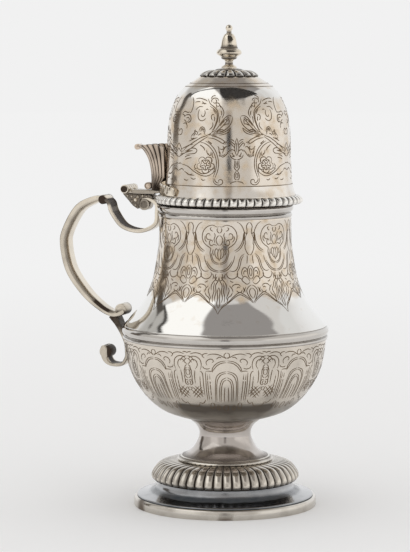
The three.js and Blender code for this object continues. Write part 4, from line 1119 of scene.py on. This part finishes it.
def loop_half(t):
    belly = 0.5 * (ease(t, 0, 0.2) - ease(t, 0.5, 0.8))
    start = 0.45 * (1 - ease(t, 0.0, 0.05))
    return 1.2 + belly + start + 0.2 * ease(t, 0.9, 1)


def loop_grime_and_shade(t, soil_and_shade):
    # Painted shade where the loop starts at the knot, and the hollows darker over part of the lower curve.
    shade_at_knot = 0.9 * ease(t, 0.055, 0.03)
    darker_stretch = ease(t, 0.62, 0.68) * ease(t, 0.82, 0.76) * (1.1 if soil_and_shade > 0.2 else 0)
    return max(soil_and_shade * (0.35 + 0.65 * ease(t, 0.05, 0.2)), shade_at_knot, darker_stretch)


loop = bent_bar(
    "loop_bar", loop_path, ribbed, loop_half, lambda t: 4.1 - 0.3 * ease(t, 0.5, 0.8),
    tips=(0.8, 1), along=200, grime_and_shade=loop_grime_and_shade,
)
# The end roll darkens towards its underside: painted shade.
end_roll = drum(
    "end_roll", 42.7, 76.6, 2.35, 7.4, dish=0.25,
    soil_and_shade_inside=lambda p: 0.2 + 0.8 * ease(p.z, 0.6, -1.2),
    soil_and_shade_outside=lambda p: 0.2 + 0.8 * ease(p.z, 0.5, -1.5),
)
# The knot is dark all round with painted shade, save a small painted highlight on top, on the side towards
# the pot.
knot = drum("knot", 50.0, 120.6, 1.8, 8.5, soil_and_shade_outside=lambda p: 1.1 * ease(p.x + p.z, 2.5, 1.9))
placed(joined("loop", loop, end_roll, knot), handled, "pot", "worn_silver", "handle_loop")

# %% [markdown]
# The tail hugs the bowl under the girdle and curls out to a plump bud. It is one more bent bar, with a
# plain rounded section that is thickest at its two ends, and the bud is a short drum.

# %% Tail
rounded = [(1, -0.5, 0), (1, 0.5, 0), (0.92, 0.92, 0), (0.6, 1, 0.2), (0, 1, 0.3), (-0.6, 1, 0.2),
           (-0.92, 0.92, 0), (-1, 0.5, 0), (-1, -0.5, 0), (-0.92, -0.92, 0), (-0.6, -1, 0), (0, -1, 0),
           (0.6, -1, 0), (0.92, -0.92, 0)]
tail_path = [(46.56, 74.28), (44.52, 71.28), (42.17, 66.7), (40.75, 63.26), (40.37, 59.64), (40.47, 57.52),
             (41.99, 54.96), (44.29, 54.2), (47.65, 54.65), (49.59, 56.77), (50.0, 60.39)]


def tail_half(t):
    return 1.4 * (0.5 + 0.65 * (1 - ease(t, 0, 0.22))) + 0.9 * ease(t, 0.75, 1)


def tail_grime_and_shade(t, soil_and_shade):
    # One face of the bar is darker than the rest, most of all where it is the inside of the curl: painted
    # shade. The bar is also darker where it starts, under the end roll.
    return max(0.25 + soil_and_shade, 0.95 * ease(t, 0.27, 0.12), 4 * soil_and_shade * ease(t, 0.6, 0.7))


tail = bent_bar("tail_bar", tail_path, rounded, tail_half, lambda t: 3.5, tips=(0, 1), grime_and_shade=tail_grime_and_shade)
# The bud is darker on its side towards the bowl: painted shade.
bud = drum("bud", 49.4, 59.4, 2.5, 6.6, soil_and_shade_inside=0.3,
           soil_and_shade_outside=lambda p: 0.25 + 0.85 * ease(p.x, -0.5, 1))
placed(joined("tail", tail, bud), handled, "pot", "worn_silver", "handle_tail")

# %% [markdown]
# ## Hinge and thumbpiece
# Five knuckles share one pin: three stay with the handle and two swing with the lid. The bracket that carries
# the fixed ones is a plate cut to an outline, with small bumps on both sides. The plate is dark, and the
# bumps are painted lighter than it, as glints.

# %% Hinge bracket
PITCH = 2.4


def knuckle(i):
    return drum(f"knuckle_{i}", HINGE_R, HINGE_Z, 1.7, PITCH - 0.15, y=(i - 2) * PITCH, faces=40)


bracket_line = [(41.3, 124.5), (41.6, 123.1), (37.4, 118.4), (35.4, 117.1), (34.9, 118.4), (34.2, 121.2),
                (30.6, 121.9), (29.4, 121.3), (29.2, 122.2), (30.5, 122.9), (38.9, 123.1), (39.2, 124.2)]
bracket_parts = [block("web", bracket_line, 7.2, edge=0.3, soil_and_shade=0.75), *(knuckle(i) for i in (0, 2, 4))]
bumps = [
    (36.1, 118.7, 0.7, 0.55), (37.6, 120.2, 0.75, 0.6), (39.5, 122.4, 0.6, 0.4), (36.2, 120.8, 0.9, 0),
    (37.8, 122.1, 0.5, 0.25), (35.2, 122.0, 0.8, 0.5), (33.3, 122.4, 0.45, 0), (31.6, 122.3, 0.5, 0.5),
]
# Each bump is painted lighter than the web, as a glint.
for r, z, radius, soil_and_shade in bumps:
    for side in (-1, 1):
        bump = new_piece("bump", bpy.ops.mesh.primitive_uv_sphere_add, segments=16, ring_count=10,
                         radius=radius * MM, location=Vector((BODY_X - r, side * 3.55, z)) * MM)
        bpy.ops.object.transform_apply(location=True, rotation=True, scale=True)
        bpy.ops.object.shade_smooth()
        keep_soil_and_shade(bump, [soil_and_shade] * len(bump.data.vertices))
        bracket_parts.append(bump)
placed(joined("bracket_leaf", *bracket_parts), handled, "pot", "worn_silver", "hinge_bracket")

# %% [markdown]
# The pin is a plain rod with a small dark head at each end.

# %% Hinge pin
pin_parts = [drum("pin_shank", HINGE_R, HINGE_Z, 0.8, 12.5, faces=24)]
for side in (-1, 1):
    pin_parts.append(drum(
        "pin_head", HINGE_R, HINGE_Z, 1.3, 0.5, y=side * 6.4, dish=0.12, faces=32,
        soil_and_shade_inside=1.1, soil_and_shade_outside=1.1,
    ))
placed(joined("pin", *pin_parts), handled, "pot", "worn_silver", "hinge_pin")

# %% [markdown]
# The lid's leaf is a flat plate from the lid to the pin. A short finger joins it to each of its two
# knuckles.

# %% Hinge leaf
leaf_line = [(37.8, 123.5), (37.9, 124.4), (37.2, 124.85), (36.0, 124.75), (26.05, 124.75),
             (26.05, 123.75), (28.1, 123.75), (28.1, 123.25), (34.2, 123.25), (36.8, 123.3)]
finger_line = [(40.1, 123.42), (40.9, 124.0), (40.9, 125.1), (38.4, 125.3), (37.4, 124.8), (37.4, 123.4)]
leaf_parts = [block("leaf_plate", leaf_line, 9, edge=0.2, soil_and_shade=0.5)]
for i in (1, 3):
    leaf_parts += [knuckle(i), block("finger", finger_line, PITCH - 0.2, y=(i - 2) * PITCH, edge=0.08)]
placed(joined("moving_leaf", *leaf_parts), handled, "lid", "worn_silver", "hinge_leaf")

# %% [markdown]
# A plate with a scalloped upper edge wraps the foot of the dome behind the thumbpiece. It is a curved
# grid with a front and a back, and each lobe of its edge swells like a petal. Each point of its skin
# is a radius, a share of the height, and the share of the swell.

# %% Scalloped plate
plate_lobes, plate_half, plate_foot = 11, math.radians(55), 123.65
plate_skin = [(26.55, 0, 0), (27.3, 0, 0), (27.35, 0.1, 0), (27.35, 0.6, 1), (27.3, 0.85, 1),
              (27.1, 0.98, 1), (26.9, 1, 0.5), (26.55, 0.97, 0), (26.55, 0, 0)]


def plate_place(u, v):
    side = 2 * u - 1
    lobe = math.sqrt(max(1 - (2 * ((u * plate_lobes) % 1) - 1) ** 2, 0))
    height = 4.8 * (0.45 + 0.55 * math.sqrt(1 - 0.9 * side ** 2)) * (0.86 + 0.14 * lobe)
    r, up, swell = on_line(plate_skin, v)
    angle = math.pi + side * plate_half
    r -= 0.4 * swell * (1 - lobe)
    # The dips between the lobes are darkened with tarnish and painted shade.
    soil_and_shade = swell * max(0, 1 - 1.6 * lobe)
    return (LID_X + r * math.cos(angle), r * math.sin(angle), plate_foot + up * height), soil_and_shade


plate = rolled("dome_foot_plate", plate_lobes * 12, 24, plate_place)
whole_mesh(plate, lambda: bpy.ops.mesh.fill_holes(sides=0), weld)
placed(plate, handled, "lid", "polished_silver", "hinge_plate")

# %% [markdown]
# The thumbpiece is a half-round shell with ribs. Its hollow side faces the dome, and its crest is
# thrown out over the handle, where the thumb presses. The grid runs round the outside, over one edge
# and back along the inside, so the shell has a real thickness.

# %% Thumbpiece
THUMB_FOOT, THUMB_HIGH, RIBS = 125.0, 18, 13
crest_line = flowing([(29.65, 0), (29.94, 0.35), (31.07, 0.65), (33.47, 0.87), (36.85, 1)], 60)


def thumb_place(u, v):
    """The first half of u is the ribbed outside, and the second half comes back along the inside."""
    outside = u < 0.5
    across = 2 * u if outside else 2 - 2 * u
    share = min(max((v - 0.02) / 0.96, 0), 1)
    crest, up = on_line(crest_line, share)
    inset = (0 if outside else 1.25) + (0.6 if v in (0, 1) else 0) * (1 if outside else -1)
    side = 2 * across - 1
    angle = math.copysign(math.pi / 2 * abs(side) ** 0.75, side)
    over_rib = 2 * ((across * RIBS) % 1) - 1
    rib = math.sqrt(max(1 - over_rib ** 2, 0))
    swell = 0.55 * rib if outside else -0.3 * rib
    hug = 27.6 - 2.3 * ease(share, 0.05, 0.3)
    y = (7.8 * (0.8 + 0.2 * math.sqrt(share)) - inset + swell) * math.sin(angle)
    r = math.sqrt(hug ** 2 - y ** 2) - 1.5 + (crest - hug + 1.5 - inset + swell) * math.cos(angle)
    z = THUMB_FOOT + THUMB_HIGH * (share + (up - share) * math.cos(angle))
    droop = max(math.cos(angle), 0) ** 4 + 1.3 * ease(abs(side), 0.75, 1) + 0.3 * (1 - rib)
    z -= droop * ease(share, 0.82, 1)
    # The shell darkens towards its foot, and the sides of each rib are darkened with painted shade.
    darker_foot = 0.85 * ease(share, 0.5, 0.02)
    return (BODY_X - r, y, z), max(darker_foot, 0.85 * ease(abs(over_rib), 0.35, 1))


shell = rolled("shell", RIBS * 28, 60, thumb_place, sharp=60)
roll = drum("thumb_roll", 31.4, 126.4, 1.4, 5.8, dish=0.25, soil_and_shade_inside=-0.3, soil_and_shade_outside=0.3)
curl = drum("thumb_curl", 36, 141.8, 1.15, 4.4, soil_and_shade_outside=-0.5)
placed(joined("fluted_thumbpiece", shell, roll, curl), brown, "lid", "worn_silver", "thumbpiece")

# %% [markdown]
# ## Room
# A mirror shows the room round it, so the room is part of the finish. It is pale at the sides and
# behind the pot, and a warmer grey towards the camera. The grey ceiling has two skylights, a few dark
# things stand on the left, and the camera is a dark upright. All this is painted on the world by
# direction. Only reflections see it, and other rays meet an even pale background. The group below
# tells whether a direction meets one flat panel.

# %% Direction masks for the world
panel, pin, pout = new_group(
    "panel",
    [("Direction", "NodeSocketVector", None), ("Centre", "NodeSocketVector", (0, -1, 0)),
     ("Right", "NodeSocketVector", (1, 0, 0)), ("Up", "NodeSocketVector", (0, 0, 1)),
     ("Half width", "NodeSocketFloat", 0.3), ("Half height", "NodeSocketFloat", 0.3),
     ("Blur", "NodeSocketFloat", 0.05)],
    [("Mask", "NodeSocketFloat")],
)
ahead = dot(panel, pin.outputs["Direction"], pin.outputs["Centre"])
masks = []
for side, half in (("Right", "Half width"), ("Up", "Half height")):
    along = dot(panel, pin.outputs["Direction"], pin.outputs[side])
    size = calc(panel, "ABSOLUTE", calc(panel, "DIVIDE", along, ahead))
    over = calc(panel, "SUBTRACT", size, pin.outputs[half])
    edge = calc(panel, "DIVIDE", over, pin.outputs["Blur"])
    fade = add(panel, "ShaderNodeMapRange",
               {"From Min": -1, "From Max": 1, "To Min": 1, "To Max": 0, "Value": edge},
               interpolation_type="SMOOTHSTEP")
    masks.append(fade.outputs["Result"])
front = calc(panel, "GREATER_THAN", ahead, 0.01)
feed(panel, pout, {"Mask": calc(panel, "MULTIPLY", calc(panel, "MULTIPLY", *masks), front)})
print("panel group:", len(panel.nodes), "nodes")

# %% [markdown]
# Each row of the list paints one panel over those before it. It gives the panel's side and height in
# degrees, its half width and half height, its colour, the blur of its edge and a shift.

# %% World
world = bpy.data.worlds.new("room")
bpy.context.scene.world = world
world.use_nodes = True
sky = world.node_tree
sky.nodes.clear()
direction = add(sky, "ShaderNodeTexCoord", {}).outputs["Generated"]
camera_side = -math.pi / 2 + turn
towards = Vector((math.cos(camera_side), math.sin(camera_side), 0))
facing = dot(sky, direction, towards)
shade = add(sky, "ShaderNodeMapRange", {"From Min": -0.8, "From Max": -0.1, "Value": facing},
            interpolation_type="SMOOTHSTEP")
colour = add(sky, "ShaderNodeMix", {
    "Factor": shade.outputs["Result"], "A": (0.92, 0.93, 0.94, 1), "B": (0.69, 0.675, 0.655, 1),
}, data_type="RGBA").outputs["Result"]


def paint(colour, side, height, half_width, half_height, value, blur, shift=(0, 0)):
    """Paints one rectangle on the room. Its side and height are degrees from the camera's, and the
    shift moves it over the flat card that touches the room there."""
    a, e = camera_side + math.radians(side), math.radians(height)
    centre = Vector((math.cos(a) * math.cos(e), math.sin(a) * math.cos(e), math.sin(e)))
    right = Vector((-math.sin(a), math.cos(a), 0))
    mask = add(sky, "ShaderNodeGroup", {
        "Direction": direction, "Centre": centre, "Right": right - centre * shift[0],
        "Up": centre.cross(right) * -1 - centre * shift[1], "Half width": half_width,
        "Half height": half_height, "Blur": blur,
    }, node_tree=panel)
    mix = add(sky, "ShaderNodeMix", {"Factor": mask.outputs["Mask"], "A": colour, "B": (*value, 1)},
              data_type="RGBA")
    return mix.outputs["Result"]


for panel_values in (
    (85, 0, 0.9, 0.5, (1.0, 0.99, 0.97), 0.2),                            # pale wall to the right
    (-50, 12, 0.3, 0.5, (0.93, 0.92, 0.9), 0.15),                         # light cloth in front on the left
    (-150, 52, 0.75, 0.42, (0.5, 0.49, 0.47), 0.12),                      # grey wall above on the left
    (0, 90, 0.55, 0.75, (0.32, 0.305, 0.295), 0.03, (0.12, 0.1)),         # grey ceiling
    (0, 90, 0.6, 0.74, (1.12, 1.12, 1.1), 0.03, (-0.9, 0.32)),            # skylight on the left
    (0, 90, 0.5, 0.22, (0.75, 0.75, 0.74), 0.05, (1.15, -0.45)),          # skylight on the right
    (-15, 90, 0.74, 0.05, (0.07, 0.065, 0.06), 0.03, (-0.9, -0.126)),     # dark frame of the left one
    (-118, 18, 0.1, 0.36, (0.1, 0.09, 0.08), 0.03),                       # dark post below it
    (-120, 4, 0.18, 0.22, (0.16, 0.14, 0.12), 0.05),                      # dark chair
    (0, 21, 0.08, 0.26, (0.36, 0.34, 0.33), 0.05),                        # dark cloth behind the camera
    (0, 2, 0.08, 0.1, (0.01, 0.01, 0.015), 0.02),                         # camera
    (0, -9, 0.04, 0.12, (0.25, 0.24, 0.23), 0.03),                        # its stand
):
    colour = paint(colour, *panel_values)
seen = add(sky, "ShaderNodeLightPath", {}).outputs["Is Glossy Ray"]
background = add(sky, "ShaderNodeMix", {"Factor": seen, "A": (0.88, 0.88, 0.88, 1), "B": colour},
                 data_type="RGBA")
glow = add(sky, "ShaderNodeBackground", {"Color": background.outputs["Result"]})
add(sky, "ShaderNodeOutputWorld", {"Surface": glow.outputs["Background"]})
print("world:", len(sky.nodes), "nodes")

# %% [markdown]
# A black card over the work, just out of the picture, gives the metal something dark to show. It lies
# flat above the finial, and only the reflections see it.

# %% Black card
CARD_HEIGHT = 205
edge_points = [(-11, 11), (1, 9), (12, 9), (23, 12), (50, 16), (37, 46), (17, 61), (4, 64), (-9, 63),
               (-13, 54), (-15, 40)]
card = new_piece("black_card", bpy.ops.mesh.primitive_circle_add, vertices=len(edge_points),
                 radius=0.01, fill_type="NGON")
sideways = Vector((-towards.y, towards.x, 0))
for vertex, (side, near) in zip(card.data.vertices, edge_points):
    vertex.co = Vector((LID_X, 0, CARD_HEIGHT)) * MM + (sideways * side + towards * near) * MM
felt = bpy.data.materials.new("black_felt")
felt.use_nodes = True
feed(felt.node_tree, felt.node_tree.nodes["Principled BSDF"],
     {"Base Color": (0.045, 0.042, 0.04, 1), "Roughness": 1})
card.data.materials.append(felt)
for ray in ("camera", "diffuse", "transmission", "volume_scatter", "shadow"):
    setattr(card, f"visible_{ray}", False)
print("card of", [round(x, 3) for x in card.dimensions])

# %% [markdown]
# The pot stands on a pale floor. Near the foot the floor takes its light and the pot's soft shadow,
# and further away it fades into the same colour as the background, so there is no horizon.

# %% Floor
floor = new_piece("floor", bpy.ops.mesh.primitive_circle_add, vertices=96, radius=6, fill_type="NGON")
paper = bpy.data.materials.new("paper")
paper.use_nodes = True
tree = paper.node_tree
cloth = tree.nodes["Principled BSDF"]
feed(tree, cloth, {"Base Color": (0.955, 0.95, 0.945, 1), "Roughness": 0.9, "Specular IOR Level": 0.1})
far = calc(tree, "LENGTH", add(tree, "ShaderNodeTexCoord", {}).outputs["Object"], kind="ShaderNodeVectorMath")
fade = add(tree, "ShaderNodeMapRange", {"From Min": 0.15, "From Max": 1.1, "Value": far},
           interpolation_type="SMOOTHSTEP")
distance = add(tree, "ShaderNodeEmission", {"Color": (0.885, 0.885, 0.885, 1)})
blend = add(tree, "ShaderNodeMixShader", {
    "Fac": fade.outputs["Result"], 1: cloth.outputs["BSDF"], 2: distance.outputs["Emission"],
})
feed(tree, tree.nodes["Material Output"], {"Surface": blend.outputs["Shader"]})
floor.data.materials.append(paper)
bpy.context.scene.view_settings.view_transform = "Standard"
print("floor of", round(floor.dimensions.x, 1), "m")

# %% [markdown]
# The nut under the crown is out of sight and plain, so it keeps its CAD solid and only gets a finish.

# %% Carried-over pieces
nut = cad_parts["finial_nut"]
nut.data.materials.clear()
nut.data.materials.append(handled)
print(nut.name, "keeps its solid")
